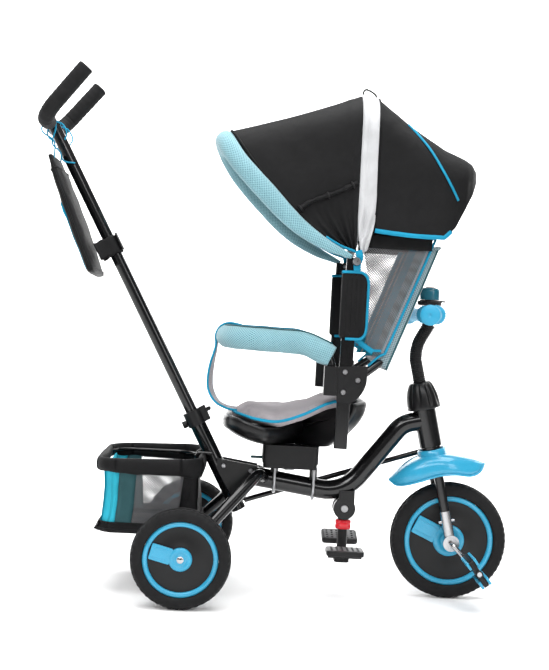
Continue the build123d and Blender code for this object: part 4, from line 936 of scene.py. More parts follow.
bell_foot = lathe("p", [(0.01, -1.5), (24, -1.5), (25.6, 0), (25.6, 6.4), (24, 8), (22, 8.2), (22, 10.6),
    (0.01, 10.6)],
    at(506, 0, 639), Z, black_satin, 156, teeth)
clip = prism("p", oval(13, 12, 5), at(512, 0, 628.5), X, Y, 21, black_satin, 1.2)
clip_screw = lathe("p", [(0.01, -2), (4, -2), (4.4, 0), (3, 1.6), (0.01, 2)], at(512, -13, 627), (0, -1, 0),
    screw_steel, 24)
place(join("bell_foot", [bell_foot, clip, clip_screw]), "fork", "black_plastic", "bell_base")
dome = lathe("p", [(19, 0.3), (21.6, 0.3), (21.9, 1.5), (21.2, 3), (21.6, 4.5), (21.6, 16), (21.2, 20.5),
    (19.6, 24), (16, 26), (11, 26.6)],
    at(506, 0, 650), Z, bell_paint, 96)
button = lathe("p", [(11, 26), (10.4, 27.6), (8.6, 28.4), (0.01, 28.6)], at(506, 0, 650), (0, 0, 1),
    plastic("bronze_cap", (0.08, 0.045, 0.03), 0.3), 48)
place(join("bell_cup", [dome, button]), "fork", "bell_metal", "bell_dome")

# ------------------------------------------------------------------ pedals
for tag, s in (("left", 1), ("right", -1)):
    q = radians(-44.5)
    sx, sz = WHEELBASE - s * 60 * cos(q), FRONT_R - s * 60 * sin(q)
    a = radians(-53.5)
    u = np.array((cos(a), 0, sin(a)))
    w = np.array((-sin(a), 0, cos(a)))
    centre = at(sx, s * 115, sz)
    parts = [prism("p", oval(32, 35, 5), centre, u, Y, 11, black_satin, 2.0),
        sweep("p", np.linspace(at(sx, s * 115 - 36, sz), at(sx, s * 115 + 36, sz), 12), 0.009, black_satin,
        24)]
    for fa in (-1, 1):
        for fw in (-1, 1):
            for k in (-2, -1, 0, 1, 2):
                c = centre + u * fa * 0.0235 + w * fw * 0.0088 + np.array((0, k * 0.0136, 0))
                parts.append(prism("p", oval(8.6, 5.6, 2), c, u, Y, 5.6, blue_gloss, 1.1))
    for e in (-1, 1):
        parts.append(lathe("p", [(6, 0), (7.4, 0), (7.8, 1.2), (6.2, 2.2), (5.1, 2.2)],
            at(sx, s * 115 + e * 36, sz), (0, e, 0), black_rib, 32))
    place(join(f"pedal_block_{tag}", parts), f"pedal_{tag}", "black_plastic", f"pedal_{tag}")

# ------------------------------------------------------------------ seat shell
def seat_ring(half, front_x, back_x, corner_x, count=96):
    """Plan of the seat as a closed ring: rounded nose at the front, chamfered back."""
    pts = []
    for t in np.linspace(-pi / 2, pi / 2, 25):
        pts.append((160 - (160 - front_x) * abs(cos(t)) ** 0.62, -half * copysign(abs(sin(t)) ** 0.9, -t)))
    line = [(p[0], p[1]) for p in pts]
    line += [(corner_x, -half), (back_x, -half * 0.55), (back_x, half * 0.55), (corner_x, half)]
    line = np.array(line)
    seg = np.concatenate([line, line[:1]])
    step = distances(seg)
    return resample(np.linspace(0, step[-1], count, endpoint=False), step, seg)


rim_height = lambda x: float(np.interp(x, [66, 80, 110, 150, 190, 230, 272, 332, 374],
    [373, 382, 376, 363, 359, 370, 394, 420, 424]))


def shell_row(ring, drop, base=None, mixed=0.0):
    return [at(x, y, rim_height(x) - drop if base is None else (rim_height(x) - drop) * (1 - mixed) + base * mixed)
        for x, y in ring]


bowl = []
for inset, drop in ((16, 26), (15, 12), (13, 3), (9, -2.2), (5, -2.6), (1.5, -0.5), (0, 4), (0.4, 9)):
    ring = seat_ring(126 - inset, 67 + inset, 374 - inset, 341 - inset * 0.5)
    bowl.append(shell_row(ring, drop))
for k in np.linspace(0.08, 1, 12):
    shrink = k ** 1.9
    half = 126 * (1 - shrink) + 60 * shrink
    fx = 67 + (156 - 67) * k ** 2.2
    bx = 374 + (302 - 374) * k ** 1.35
    ring = seat_ring(half, fx, bx, 341 + (290 - 341) * k)
    bowl.append(shell_row(ring, 9, 321.4, k ** 0.8))
shell = grid("seat_bowl", bowl, black_gloss, wrap=True, caps=True)
subdivide(shell)
lug_parts = [shell]
for s in (-1, 1):
    lug_parts.append(prism("p", oval(12, 32, 5), at(316, s * 124, 368), X, Z, 15, black_satin, 2))
place(join("seat_bowl_body", lug_parts), "seat", "black_plastic", "seat_shell")

# ------------------------------------------------------------------ cushion
def cushion_edge(x):
    return float(np.interp(x, [84, 100, 140, 185, 235, 286, 330], [386, 386, 380, 376, 393, 419, 431]))


def cushion_top(x):
    return float(np.interp(x, [84, 110, 150, 190, 240, 290, 330], [391, 397, 398, 397, 404, 422, 433]))


rows_top, rows_low = [], []
xs = np.linspace(86, 330, 46)
for x in xs:
    half = 119 * min(1, (max(0, (x - 84)) / 75) ** 0.45)
    top, low = [], []
    for t in np.linspace(-1, 1, 37):
        y = half * t
        crown = (1 - abs(t) ** 2.6)
        wave = 1.6 * sin(x * 0.11 + t * 3) * (1 - t * t)
        top.append(at(x, y, cushion_edge(x) + 2.5 + (cushion_top(x) - cushion_edge(x) + 4) * crown + wave))
        low.append(at(x, y, cushion_edge(x) - 2.5 - 10 * crown))
    rows_top.append(top)
    rows_low.append(low)
ring_rows = []
for top, low in zip(rows_top, rows_low):
    ring_rows.append(top + low[::-1])
cushion = grid("p", ring_rows, melange, wrap=True, caps=True)


def inflate(thing, voxel=0.005, pressure=4.0, cap=0.008, frames_to=20):
    """Puffs a closed pad up with a short cloth simulation and keeps the result."""
    m = thing.modifiers.new("remesh", "REMESH")
    m.mode = "VOXEL"
    m.voxel_size = voxel
    deps = bpy.context.evaluated_depsgraph_get()
    deps.update()
    mesh = bpy.data.meshes.new_from_object(thing.evaluated_get(deps))
    thing.modifiers.clear()
    thing.data = mesh
    start = np.array([v.co[:] for v in mesh.vertices])
    m = thing.modifiers.new("cloth", "CLOTH")
    m.settings.use_pressure = True
    m.settings.uniform_pressure_force = pressure
    m.settings.effector_weights.gravity = 0.0
    m.settings.quality = 5
    m.point_cache.frame_start = 1
    m.point_cache.frame_end = frames_to
    for f in range(1, frames_to + 1):
        bpy.context.scene.frame_set(f)
    deps = bpy.context.evaluated_depsgraph_get()
    got = bpy.data.meshes.new_from_object(thing.evaluated_get(deps))
    moved = np.array([v.co[:] for v in got.vertices])
    bpy.context.scene.frame_set(1)
    thing.modifiers.clear()
    if moved.shape == start.shape:
        d = moved - start
        far = np.linalg.norm(d, axis=1)[:, None]
        moved = start + d * np.minimum(1, cap / np.maximum(far, 1e-9))
        for v, co in zip(mesh.vertices, moved):
            v.co = co
    for poly in mesh.polygons:
        poly.use_smooth = True
    return thing


melange_pad = cloth("grey_melange_pad", (0.42, 0.385, 0.40), 0.0018, 0.9, 0.3, 0.35, melange=0.7, kind="Object",
    fold=0.15)
cushion.data.materials[0] = melange_pad
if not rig.quick():
    inflate(cushion, 0.005, 3.0, 0.005)
    cushion.data.materials.clear()
    cushion.data.materials.append(melange_pad)
subdivide(cushion)
piping_line = curve([at(330, -117, 433), at(286, -119.5, 421), at(235, -120, 395), at(185, -119.5, 378.5),
    at(140, -117, 381),
    at(108, -86, 386.5), at(93, -40, 388), at(89, 0, 388), at(93, 40, 388), at(108, 86, 386.5),
    at(140, 117, 381),
    at(185, 119.5, 378.5), at(235, 120, 395), at(286, 119.5, 421), at(330, 117, 433)], 150)
piping = sweep("seat_piping", piping_line, 0.0032, binding, 10)
place(cushion, "seat", "seat_cloth", "seat_cushion")
cushion.name = "seat_pad"
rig.padded(cushion, 0.4)
place(piping, "seat", "seat_cloth")

# ------------------------------------------------------------------ crotch strap
strap_line = curve([(98, 573.5), (72, 577), (53, 569.5), (44, 552), (45, 533), (43, 513), (38, 488), (35, 455),
    (38, 430), (52, 406), (74, 394), (98, 390.5)], 70)
rows = []
for i, (x, z) in enumerate(strap_line):
    a = strap_line[max(0, i - 1)]
    b = strap_line[min(len(strap_line) - 1, i + 1)]
    t = (b - a) / np.linalg.norm(b - a)
    nrm = np.array((-t[1], t[0]))
    k = i / (len(strap_line) - 1)
    half = 26 + 12 * max(0, k - 0.6) / 0.4
    row = []
    for y in np.linspace(-1, 1, 15):
        bow = 3.0 * (1 - y * y) * sin(pi * k)
        p = np.array((x, z)) + nrm * bow
        twist = 0.15 * y * half * sin(pi * min(1, max(0, (k - 0.36) / 0.5))) ** 0.7
        row.append(at(p[0] + twist, y * half, p[1]))
    rows.append(row)
strap = thicken(grid("p", rows, melange), 0.0036, 0.0)
edges = [sweep("p", np.array([r[j] for r in rows]), 0.0026, binding, 8) for j in (0, -1)]
strap_cloth = join("crotch_strap_cloth", [strap] + edges)
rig.slot(strap_cloth, "seat_cloth")
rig.replaces(strap_cloth, "crotch_strap")
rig.blend(strap_cloth, "safety_bar", "seat", tuple(at(40, 0, 500)), tuple(at(60, 0, 400)))

# ------------------------------------------------------------------ bar padding
pad_line = rounded([at(288, -139, 520), at(232, -130, 545), at(70, -104, 549), at(70, 104, 549), at(232, 130, 545),
    at(288, 139, 520)], 0.066, 150)


def pad_radius(t):
    e = min(t, 1 - t)
    return 0.0247 * (0.86 + 0.14 * min(1, e / 0.03)) * (1 + 0.012 * sin(t * 60))


pad = sweep("p", pad_line, pad_radius, pale_mesh, 32, caps=True)
us, vs = frames(pad_line)
strip_rows = []
for i in range(3, len(pad_line) - 3):
    row = []
    n = vs[i] if vs[i][2] > 0 else -vs[i]
    t = i / (len(pad_line) - 1)
    for q in np.linspace(-0.2, 0.42, 7):
        d = n * cos(q) - us[i] * sin(q)
        row.append(pad_line[i] + d * (pad_radius(t) + 0.0007))
    strip_rows.append(row)
strip = thicken(grid("p", strip_rows, dark_teal), 0.0012, 0)
end_hoop = hoop(pad_line[-3], us[-3], vs[-3], 0.0236, 33, 0.0022, binding)
seam = sweep("p", np.array([r[0] for r in strip_rows]), 0.0013, binding, 8)
padding = join("bar_padding_cover", [pad, strip, seam, end_hoop])
place(padding, "safety_bar", "seat_cloth", "bar_padding")
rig.padded(padding, 0.8)

# ------------------------------------------------------------------ canopy
def arch(x, low, high, half, corner, count=61):
    """One bow of the canopy, from its near foot over the top to its far foot."""
    pts = []
    side_len = high - corner - low
    arc = corner * pi / 2
    flat = half - corner
    length = side_len + arc + flat
    for t in np.linspace(-1, 1, count):
        s = (1 - abs(t)) * length
        if s < side_len:
            y, z = half, low + s
        elif s < side_len + arc:
            q = (s - side_len) / corner
            y, z = flat + corner * cos(q), high - corner + corner * sin(q)
        else:
            y, z = length - s, high
        pts.append((x, copysign(y, t) if abs(t) > 1e-9 else 0.0, z))
    return np.array(pts)


def to_frame(p):
    return np.array([at(*q) for q in np.asarray(p).reshape(-1, 3)]).reshape(np.asarray(p).shape)


def surface_normals(p):
    a = np.gradient(p, axis=0)
    b = np.gradient(p, axis=1)
    n = np.cross(a, b)
    return n / np.maximum(np.linalg.norm(n, axis=2, keepdims=True), 1e-9)


def outward(p, n, centre):
    flip = np.sum((p - centre) * n, axis=2, keepdims=True) < 0
    return np.where(flip, -n, n)


def ripple(p, scale, seed):
    return np.array([[noise.noise(Vector(q) * scale + Vector((seed, 0, 0))) for q in row] for row in p])


COUNT = 81
# the front bow: up the near side, across the top, down the far side
side_line = curve([(312, -140, 741), (262, -141, 764), (206, -140, 806), (160, -138, 851), (118, -132, 898),
    (84, -122, 942), (66, -106, 968)], 40)
cross_line = curve([(66, -106, 968), (57, -88, 979), (54, -50, 984), (53, 0, 986)], 40)
def bow(count):
    rows = []
    for t in np.linspace(-1, 1, count):
        k = 1 - abs(t)
        src, kk = (side_line, k / 0.72) if k < 0.72 else (cross_line, (k - 0.72) / 0.28)
        f = kk * 39
        i = min(38, int(f))
        q = src[i] * (1 - (f - i)) + src[i + 1] * (f - i)
        rows.append((q[0], copysign(abs(q[1]), t) if abs(t) > 1e-9 else 0.0, q[2]))
    return np.array(rows)


front_bow = bow(COUNT)
back_bow = arch(326, 736, 1071, 142, 76, COUNT)
rows = []
for i in np.linspace(0, 1, 34):
    rows.append(front_bow * (1 - i) + back_bow * i)
cover = to_frame(rows)
normals = outward(cover, surface_normals(cover), at(210, 0, 860))
t_across = np.abs(np.linspace(-1, 1, COUNT))[None, :]
t_along = np.linspace(0, 1, 34)[:, None]
sag = -0.0045 * np.sin(pi * t_along) * (1 - 0.4 * t_across)
slack = np.clip((t_across - 0.62) / 0.3, 0, 1) * np.sin(pi * np.clip(t_along, 0, 1)) ** 0.5
folds = 0.0042 * slack * np.sin(26 * t_along + 9 * t_across + 2.2 * ripple(cover, 9, 1.0))
folds += 0.004 * slack * ripple(cover, 24, 4.0)
soft = 0.0016 * ripple(cover, 11, 8.0) * np.sin(pi * t_along)
rib = 0.0016 * np.exp(-((t_along - 0.90) / 0.02) ** 2)
cover = cover + normals * (sag + folds + soft + rib)[..., None]
front_cloth = thicken(grid("canopy_front_cloth", cover, black_cloth), 0.0015, 0)
subdivide(front_cloth)


def finish_blend(thing, *replaced, slot="black_cloth"):
    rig.slot(thing, slot)
    if replaced:
        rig.replaces(thing, *replaced)
    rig.blend(thing, "seat", "canopy", tuple(at(322, 0, 900)), tuple(at(120, 0, 880)))
    return thing


finish_blend(front_cloth, "canopy_front")


def nearest_on(surface, square, x, z, lift):
    """The surface's point at this x and z, lifted along its normal."""
    near, out = surface.reshape(-1, 3), square.reshape(-1, 3)
    want = at(x, 0, z)
    d = (near[:, 0] - want[0]) ** 2 + (near[:, 2] - want[2]) ** 2
    k = np.argsort(d)[:4]
    w = 1 / (d[k] + 1e-9)
    q = (near[k] * w[:, None]).sum(0) / w.sum()
    m = (out[k] * w[:, None]).sum(0) / w.sum()
    return np.array((want[0], q[1], want[2])) + m * lift


def on_front(x, z, lift=0.0):
    return nearest_on(cover[:, :COUNT // 2], normals[:, :COUNT // 2], x, z, lift)


# rolled window flap with three small loops, and the seams beside the stripe
for hand in (-1, 1):
    roll = curve([on_front(x, z, 0.0035) for x, z in ((203, 818), (226, 836), (262, 851), (295, 866), (322, 881))],
        50)
    roll[:, 1] *= -hand if hand > 0 else 1
    flap = sweep("p", roll, lambda t: 0.0062 + 0.0012 * sin(t * 17) + 0.0008 * sin(t * 41), black_cloth, 16,
        flat=0.75)
    bits = [flap]
    us, vs = frames(roll)
    for t in (0.06, 0.52, 0.93):
        i = int(t * 49)
        bits.append(hoop(roll[i], us[i], vs[i], 0.0078, 21, 0.0018, black_rib, 0.8))
    finish_blend(join(f"window_roll_{'left' if hand > 0 else 'right'}", bits))
for hand in (-1, 1):
    hem = [on_front(x, z, 0.001) for x, z in ((262, 766), (280, 756), (300, 747), (326, 739))]
    hem = np.array(hem)
    hem[:, 1] *= -hand if hand > 0 else 1
    finish_blend(sweep(f"canopy_hem_{'left' if hand > 0 else 'right'}", curve(hem, 30), 0.0042, binding, 12,
        flat=0.7))
edge_line = to_frame(front_bow)[4:-4]
finish_blend(sweep("canopy_front_seam", edge_line + np.array((0.001, 0, 0.001)), 0.0026, black_cloth, 10))

# the padded roll along the front bow
band_side = [(318, 727, 148, 5), (298, 735, 149, 8), (262, 750, 149.5, 13), (215, 778, 149, 18),
    (176, 810, 147.5, 21), (140, 846, 145, 22.5),
    (104, 882, 139, 22.5), (74, 915, 127, 22), (54, 944, 110, 22), (44, 962, 84, 22), (40, 968, 40, 22)]
band_half = [(at(x, -y, z), w) for x, z, y, w in band_side] + [(at(40, 0, 969), 22)]
band_pts = band_half + [(np.array((p[0], -p[1], p[2])), w) for p, w in band_half[-2::-1]]
line4 = curve([(*p, w / 1000) for p, w in band_pts], 200)
band_line = line4[:, :3]
widths = line4[:, 3] * 0.9
roll = sweep("front_roll", band_line, lambda t: float(np.interp(t * 199, range(200), widths)), pale_mesh, 30,
    flat=lambda t: 0.62 + 0.25 * sin(pi * t) ** 4, side=(0.6, 0, 0.8))
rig.ride(roll, "canopy")
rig.slot(roll, "edging_cloth")
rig.replaces(roll, "canopy_rim")
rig.padded(roll, 0.8)
hubs = [lathe("p", [(0.01, -4), (8, -4), (9, -3), (9, 3), (8, 4), (0.01, 4)], at(327, hand * 151, 718), Y,
    black_satin, 40)
    for hand in (-1, 1)]
place(join("canopy_hinge_hubs", hubs), "canopy", "black_plastic")

# stripe: two light grey strips between the front cloth and the hood
rows = []
STRIPE = 22
for i in range(STRIPE):
    f = i / (STRIPE - 1)
    foot = arch(326 + 36 * f, 742, 1071 - 7 * f, 142.5 + 4.5 * f, 76, 121)
    out = []
    for j, (x, y, z) in enumerate(foot):
        low = max(0, 1 - (z - 734) / 78)
        mid = 336 + 8 * f
        out.append((x * (1 - low ** 1.5) + mid * low ** 1.5, y, z - 8 * low * (1 - abs(f - 0.35))))
    rows.append(out)
stripe = to_frame(rows)
n = outward(stripe, surface_normals(stripe), at(343, 0, 880))
fa = np.linspace(0, 1, STRIPE)[:, None]
ta = np.abs(np.linspace(-1, 1, 121))[None, :]
puff = 0.0045 * np.abs(np.sin(pi * np.where(fa < 0.36, fa / 0.36, (fa - 0.36) / 0.64))) ** 0.6
gather = np.clip((ta - 0.68) / 0.25, 0, 1)
puff = puff * (1 - 0.3 * gather) + 0.0045 * gather * np.sin(11 * fa + 30 * ta + 3
    * ripple(stripe, 30, 2.0)) + 0.0015 * ripple(stripe, 28, 6.0)
stripe = stripe + n * puff[..., None]
stripe_cloth = thicken(grid("canopy_stripe", stripe, grey_stripe), 0.0013, 0)
subdivide(stripe_cloth)
place(stripe_cloth, "seat", "stripe_cloth", "canopy_hood")
crease = stripe[7] - n[7] * 0.0005
place(sweep("stripe_crease", crease[8:-8], 0.0011, grey_stripe, 8), "seat", "stripe_cloth")

# hood
STATIONS = [(362, 784, 1064, 147, 76), (372, 783, 1057, 147.5, 76), (400, 780, 1038, 148, 75),
    (432, 778, 1016, 148, 74), (470, 777, 991, 146, 72),
    (506, 777, 968, 142, 70), (530, 800, 958, 136, 66), (552, 842, 948, 126, 56), (566, 872, 938, 112, 36),
    (575, 900, 926, 92, 14)]


def hood_arch(x):
    s = np.array(STATIONS)
    vals = [float(np.interp(x, s[:, 0], s[:, k])) for k in range(1, 5)]
    vals[3] = min(vals[3], (vals[1] - vals[0]) - 1)
    return arch(x, *vals, count=101)


hood_x = np.concatenate([np.linspace(362, 520, 34), np.linspace(526, 575, 16)])
hood = to_frame([hood_arch(x) for x in hood_x])
n = outward(hood, surface_normals(hood), at(430, 0, 860))
tx = ((hood_x - 362) / 213)[:, None]
ta = np.abs(np.linspace(-1, 1, 101))[None, :]
dent = -0.003 * np.sin(pi * np.clip(tx / 0.66, 0, 1)) * (1 - ta ** 3)
dent = dent + 0.0022 * ripple(hood, 9, 3.0) + 0.0010 * ripple(hood, 26, 5.0)
dent = dent + 0.0022 * np.clip((ta - 0.5) / 0.5, 0, 1) * np.sin(14 * tx + 5 * ta)
hood = hood + n * dent[..., None]
hood_cloth = thicken(grid("canopy_hood_cloth", hood, black_cloth), 0.0015, 0)
back_x = hood[-1]
fan_rows = [back_x, (back_x + back_x.mean(axis=0)) / 2,
    np.repeat(back_x.mean(axis=0)[None], len(back_x), 0) + np.array((0.0005, 0, 0))]
hood_end = thicken(grid("p", fan_rows, black_cloth), 0.0015, 0)
# the rear wall under the cap: from the lower edge of one side across to the other
low_near = hood[33:, 0]
low_far = hood[33:, -1]
wall = [[a * (1 - k) + b * k + np.array((0.004 * sin(pi * k), 0, 0)) for k in np.linspace(0, 1, 21)] for a,
    b in zip(low_near, low_far)]
hood_wall = thicken(grid("p", wall, black_cloth), 0.0015, 0)
hood_all = join("canopy_hood_shell", [hood_cloth, hood_end, hood_wall])
place(hood_all, "seat", "black_cloth")


def on_hood(x, z, lift=0.0):
    return nearest_on(hood[:, :51], n[:, :51], x, z, lift)


bits = []
for hand in (-1, 1):
    s = 1 if hand < 0 else -1
    seam_pts = np.array([on_hood(x, z, 0.0015) for x,
        z in ((424, 1010), (446, 986), (470, 956), (496, 916), (516, 884), (532, 856))])
    seam_pts[:, 1] *= s
    bits.append(sweep("p", curve(seam_pts, 60), 0.0042, binding, 12, flat=0.55, side=(0.8, 0, -0.6)))
    foot_line = np.array([hood[i, 0 if hand < 0 else -1] for i in range(0, 34)])
    bits.append(sweep("p", foot_line, 0.0048, binding, 12, flat=0.6, side=Z))
rear_edge = np.array([hood[33, 0] * (1 - k) + hood[33, -1] * k + np.array((0.004 * sin(pi * k), 0, 0))
    for k in np.linspace(0, 1, 30)])
bits.append(sweep("p", rear_edge, 0.0044, binding, 12, flat=0.7, side=Z))
edge_near = [hood[0, j] for j in range(4, 97)]
bits.append(sweep("p", np.array(edge_near) + n[0, 4:97] * 0.001, 0.0022, black_cloth, 8))
place(join("hood_binding", bits), "seat", "edging_cloth")
# a small carrying loop on the stripe's top
loop = curve([at(331, -52, 1070), at(332, -52, 1083), at(336, -52, 1089), at(344, -52, 1088), at(356, -52, 1081),
    at(360, -52, 1075), at(361, -52, 1064)], 40)
place(sweep("top_loop", loop, 0.0027, black_rib, 12, flat=0.8, side=Y), "seat", "black_cloth")

# ------------------------------------------------------------------ backrest
front_low, front_top = np.array((381, 516.0)), np.array((475, 754.0))
rear_low, rear_top = np.array((413, 492.0)), np.array((511, 759.0))
rows = []
for k in np.linspace(0, 1, 44):
    f = front_low * (1 - k) + front_top * k
    r = rear_low * (1 - k) + rear_top * k
    half = 104 - 3 * abs(2 * k - 1) ** 6
    ring = []
    mid = (f + r) / 2
    d = (r - f) / 2
    for q in np.linspace(0, 2 * pi, 72, endpoint=False):
        a = copysign(abs(cos(q)) ** 0.45, cos(q))
        b = copysign(abs(sin(q)) ** 0.55, sin(q))
        crown = 0.0
        if b < 0:
            crown = 3.5 * (1 - abs(a) ** 2) + 1.2 * cos(k * 40) * (1 - abs(a) ** 4)
        p = mid + d * b * (1 + crown / 30)
        ring.append(at(p[0], a * half, p[1]))
    rows.append(ring)
back = grid("p", rows, blue_net, wrap=True, caps=True)
face = []
for row in rows:
    face.append([p + np.array((-0.0012, 0, 0.0004)) for p in row[39:70]])
face_cloth = thicken(grid("p", face, melange), 0.0012, 0)
bits = [back, face_cloth]
for s in (-1, 1):
    near = [r[37 if s < 0 else 71] for r in rows]
    line = np.array(near + [near[-1] + np.array((0.0075, 0, 0.019))])
    bits.append(sweep("p", line[4:], 0.0046, binding, 12, flat=0.6, side=Y))
    tail = curve([near[4], near[2] + np.array((-0.010, s * 0.003, 0.004)),
        near[0] + np.array((-0.026, s * 0.006, -0.004))], 16)
    bits.append(sweep("p", tail, 0.0052, binding, 10, flat=0.5, side=Y))
    bolster = []
    for i, q in enumerate(near[3:]):
        reach = 0.030 + 0.004 * i / 41
        bolster.append([q + np.array((-reach * u, -s * (0.002 + 0.010 * u * u), 0.0))
            for u in np.linspace(0, 1, 10)])
    bits.append(thicken(grid("p", bolster, blue_net), 0.0008, 0))
    tape = [[r[-1] + np.array((0.010 * (u - 0.5), s * 0.0015, 0)) * 2 for u in (0, 0.25, 0.5, 0.75, 1)]
        for r in bolster]
    bits.append(thicken(grid("p", tape, teal_tape), 0.0014, 0))
    rear = np.array([r[32 if s < 0 else 4] for r in rows])
    bits.append(sweep("p", rear, 0.0022, dark_teal, 10))
bits.append(sweep("p", np.array(rows[-1] + [rows[-1][0]]), 0.0034, blue_net, 10, closed=True))
back_all = join("back_pad", bits)
place(back_all, "backrest", "seat_cloth", "back_panel")
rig.padded(back_all, 0.5)

# wings: open mesh between post and back, a black band along the top
for s in (-1, 1):
    rows_w = []
    for k in np.linspace(0, 1, 30):
        z = 536 + (752 - 536) * k
        left = float(np.interp(z, [536, 560, 700, 735, 752], [362, 358, 354, 346, 344]))
        right_x = float(np.interp(z, [516, 754], [381, 475])) + 3
        rows_w.append([at(left + (right_x - left) * u, s * (118 - 12 * u + 2.5 * sin(pi * u) * sin(pi * k)), z)
            for u in np.linspace(0, 1, 16)])
    net = thicken(grid("p", rows_w, grey_net), 0.0008, 0)
    band = []
    for k in np.linspace(0, 1, 8):
        z = 750 + 28 * k
        band.append([at(354 + (488 - 354) * u, s * (119 - 10 * u), z) for u in np.linspace(0, 1, 16)])
    top = thicken(grid("p", band, black_cloth), 0.0015, 0)
    hem = sweep("p", np.array(rows_w[0]), 0.003, binding, 10)
    wing = join(f"wing_{'left' if s > 0 else 'right'}", [net, top, hem])
    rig.slot(wing, "mesh_cloth")
    if s < 0:
        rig.replaces(wing, "back_wings")
    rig.blend(wing, "seat", "backrest", tuple(at(362, 0, 640)), tuple(at(425, 0, 640)))

# sleeves on the posts
for s in (-1, 1):
    outline = [(-26, -68), (14, -68), (22, -64), (27, -56), (29, -40), (29, 42), (27, 56), (21, 65), (13, 69),
        (-26, 69)]
    body = prism("p", outline, at(326, s * 138, 627), X, Z, 25, black_cloth_near, 7, 4)
    bits = [body]
    for k in (-1, 1):
        rim = [(-26, 69), (0, 69.5), (13, 69), (21, 65), (27, 56), (29, 42), (29, 0), (29, -40), (27, -56),
            (22, -64), (14, -68), (-14, -68.5)]
        line = curve([at(326 + a, s * 138 + k * 9.5, 627 + b) for a, b in rim], 90)
        bits.append(sweep("p", line, 0.0044, binding, 12, flat=0.7, side=Y))
    for x in (-16, -6, 4, 14):
        bits.append(sweep("p", np.linspace(at(326 + x, s * 150.6, 566), at(326 + x, s * 150.6, 690), 12), 0.0009,
            black_cloth_near, 6))
    tie = curve([at(328, s * 128, 566), at(351, s * 127, 547.5), at(374, s * 119, 533)], 16)
    bits.append(sweep("p", tie, 0.0058, binding, 10, flat=0.3, side=Z))
    tab = curve([at(330, s * 150, 741), at(333, s * 151.5, 728), at(329, s * 150.5, 712), at(330, s * 149, 699)],
        24)
    bits.append(sweep("p", tab, 0.0075, binding, 10, flat=0.3, side=X))
    sleeve = join(f"post_sleeve_{'left' if s > 0 else 'right'}", bits)
    place(sleeve, "seat", "black_cloth", *(["post_sleeves"] if s < 0 else []))
    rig.padded(sleeve, 0.3)

# ------------------------------------------------------------------ basket
def basket_ring(z, inset=0.0, count=120):
    """The basket's outline at a height: it widens a little towards its floor at the back."""
    low = (283 - z) / 152
    rear = -171 - 7 * low + inset
    front = 26 + 5 * low - inset
    half = 147 - 20 * low - inset
    outline = np.array(oval((front - rear) / 2, half, 30 - inset, 10))
    outline[:, 0] += (front + rear) / 2
    return curve(np.column_stack([outline, np.full(len(outline), z)]), count, closed=True)


def basket_wall(test, mat, z_low, z_high, bulge, seed):
    """Panels of the basket's wall where test holds, from z_low to z_high."""
    base = basket_ring((z_low + z_high) / 2)
    mask = [bool(test(p)) for p in base]
    starts = [i for i in range(120) if mask[i] and not mask[i - 1]]
    panels = []
    for start in starts:
        run = [start]
        while mask[(run[-1] + 1) % 120] and len(run) < 119:
            run.append((run[-1] + 1) % 120)
        run.append((run[-1] + 1) % 120)
        rows_b = []
        for z in np.linspace(z_low, z_high, 14):
            ring = basket_ring(z, 1.5)
            middle = ring.mean(axis=0)
            k = (z - z_low) / (z_high - z_low)
            row = []
            for i in run:
                p = ring[i]
                d = (p - middle) / np.linalg.norm(p - middle)
                h = noise.noise(Vector(p) * 0.022 + Vector((seed, 0, 0)))
                row.append(at(*(p + d * sin(pi * k) * (bulge + 5 * h))))
            rows_b.append(row)
        panels.append(thicken(grid("p", rows_b, mat), 0.0012, 0))
    return panels


walls = basket_wall(lambda p: p[0] <= -150, teal_cloth, 140, 268, -5, 2)
walls += basket_wall(lambda p: -150 < p[0] <= -107, dark_teal, 142, 268, -3, 5)
walls += basket_wall(lambda p: -107 < p[0] <= -14, black_net, 142, 268, -2, 1)
walls += basket_wall(lambda p: p[0] > -14, black_cloth, 142, 268, -3, 3)
tray_rows = []
for z, inset in ((152, -0.5), (149, -1.2), (145, -1.5), (142, -2.5), (138, -4.0), (134, -3), (131.4, 4),
    (131.2, 14)):
    ring = basket_ring(z, 0)
    middle = ring.mean(axis=0)
    row = []
    for p in ring:
        d = (p - middle) / np.linalg.norm(p - middle)
        h = noise.noise(Vector(p) * 0.03)
        back = max(0, min(1, (-140 - p[0]) / 30))
        q = p - d * (inset - 1.5 * h)
        q[0] -= back * max(0, 8 - abs(z - 138)) * 0.5
        row.append(at(*q))
    tray_rows.append(row)
tray = thicken(grid("p", tray_rows, black_cloth, wrap=True), 0.0018, 0)
floor_ring = to_frame(basket_ring(132, 12))
floor_rows = [floor_ring, floor_ring * 0.5 + floor_ring.mean(axis=0) * 0.5,
    floor_ring * 0.02 + floor_ring.mean(axis=0) * 0.98]
tray_floor = thicken(grid("p", floor_rows, black_cloth, wrap=True), 0.0024, 0)
tray_hem = sweep("p", np.concatenate([tray_rows[0], tray_rows[0][:1]]), 0.0022, black_cloth, 10, closed=True,
    side=Z)
low_hem = sweep("p", np.concatenate([tray_rows[4], tray_rows[4][:1]]), 0.0028, black_cloth, 10, closed=True, side=Z)
wall_mesh = join("basket_walls", walls + [tray, tray_floor, tray_hem, low_hem])
place(wall_mesh, "frame", "basket_cloth", "basket_cloth")
rim_outline = np.array(oval(106, 146, 50, 14))
rim_outline[:, 0] -= 77
ring = curve(np.column_stack([rim_outline, np.full(len(rim_outline), 274.0)]), 160, closed=True)
middle = ring.mean(axis=0)
rim_rows = []
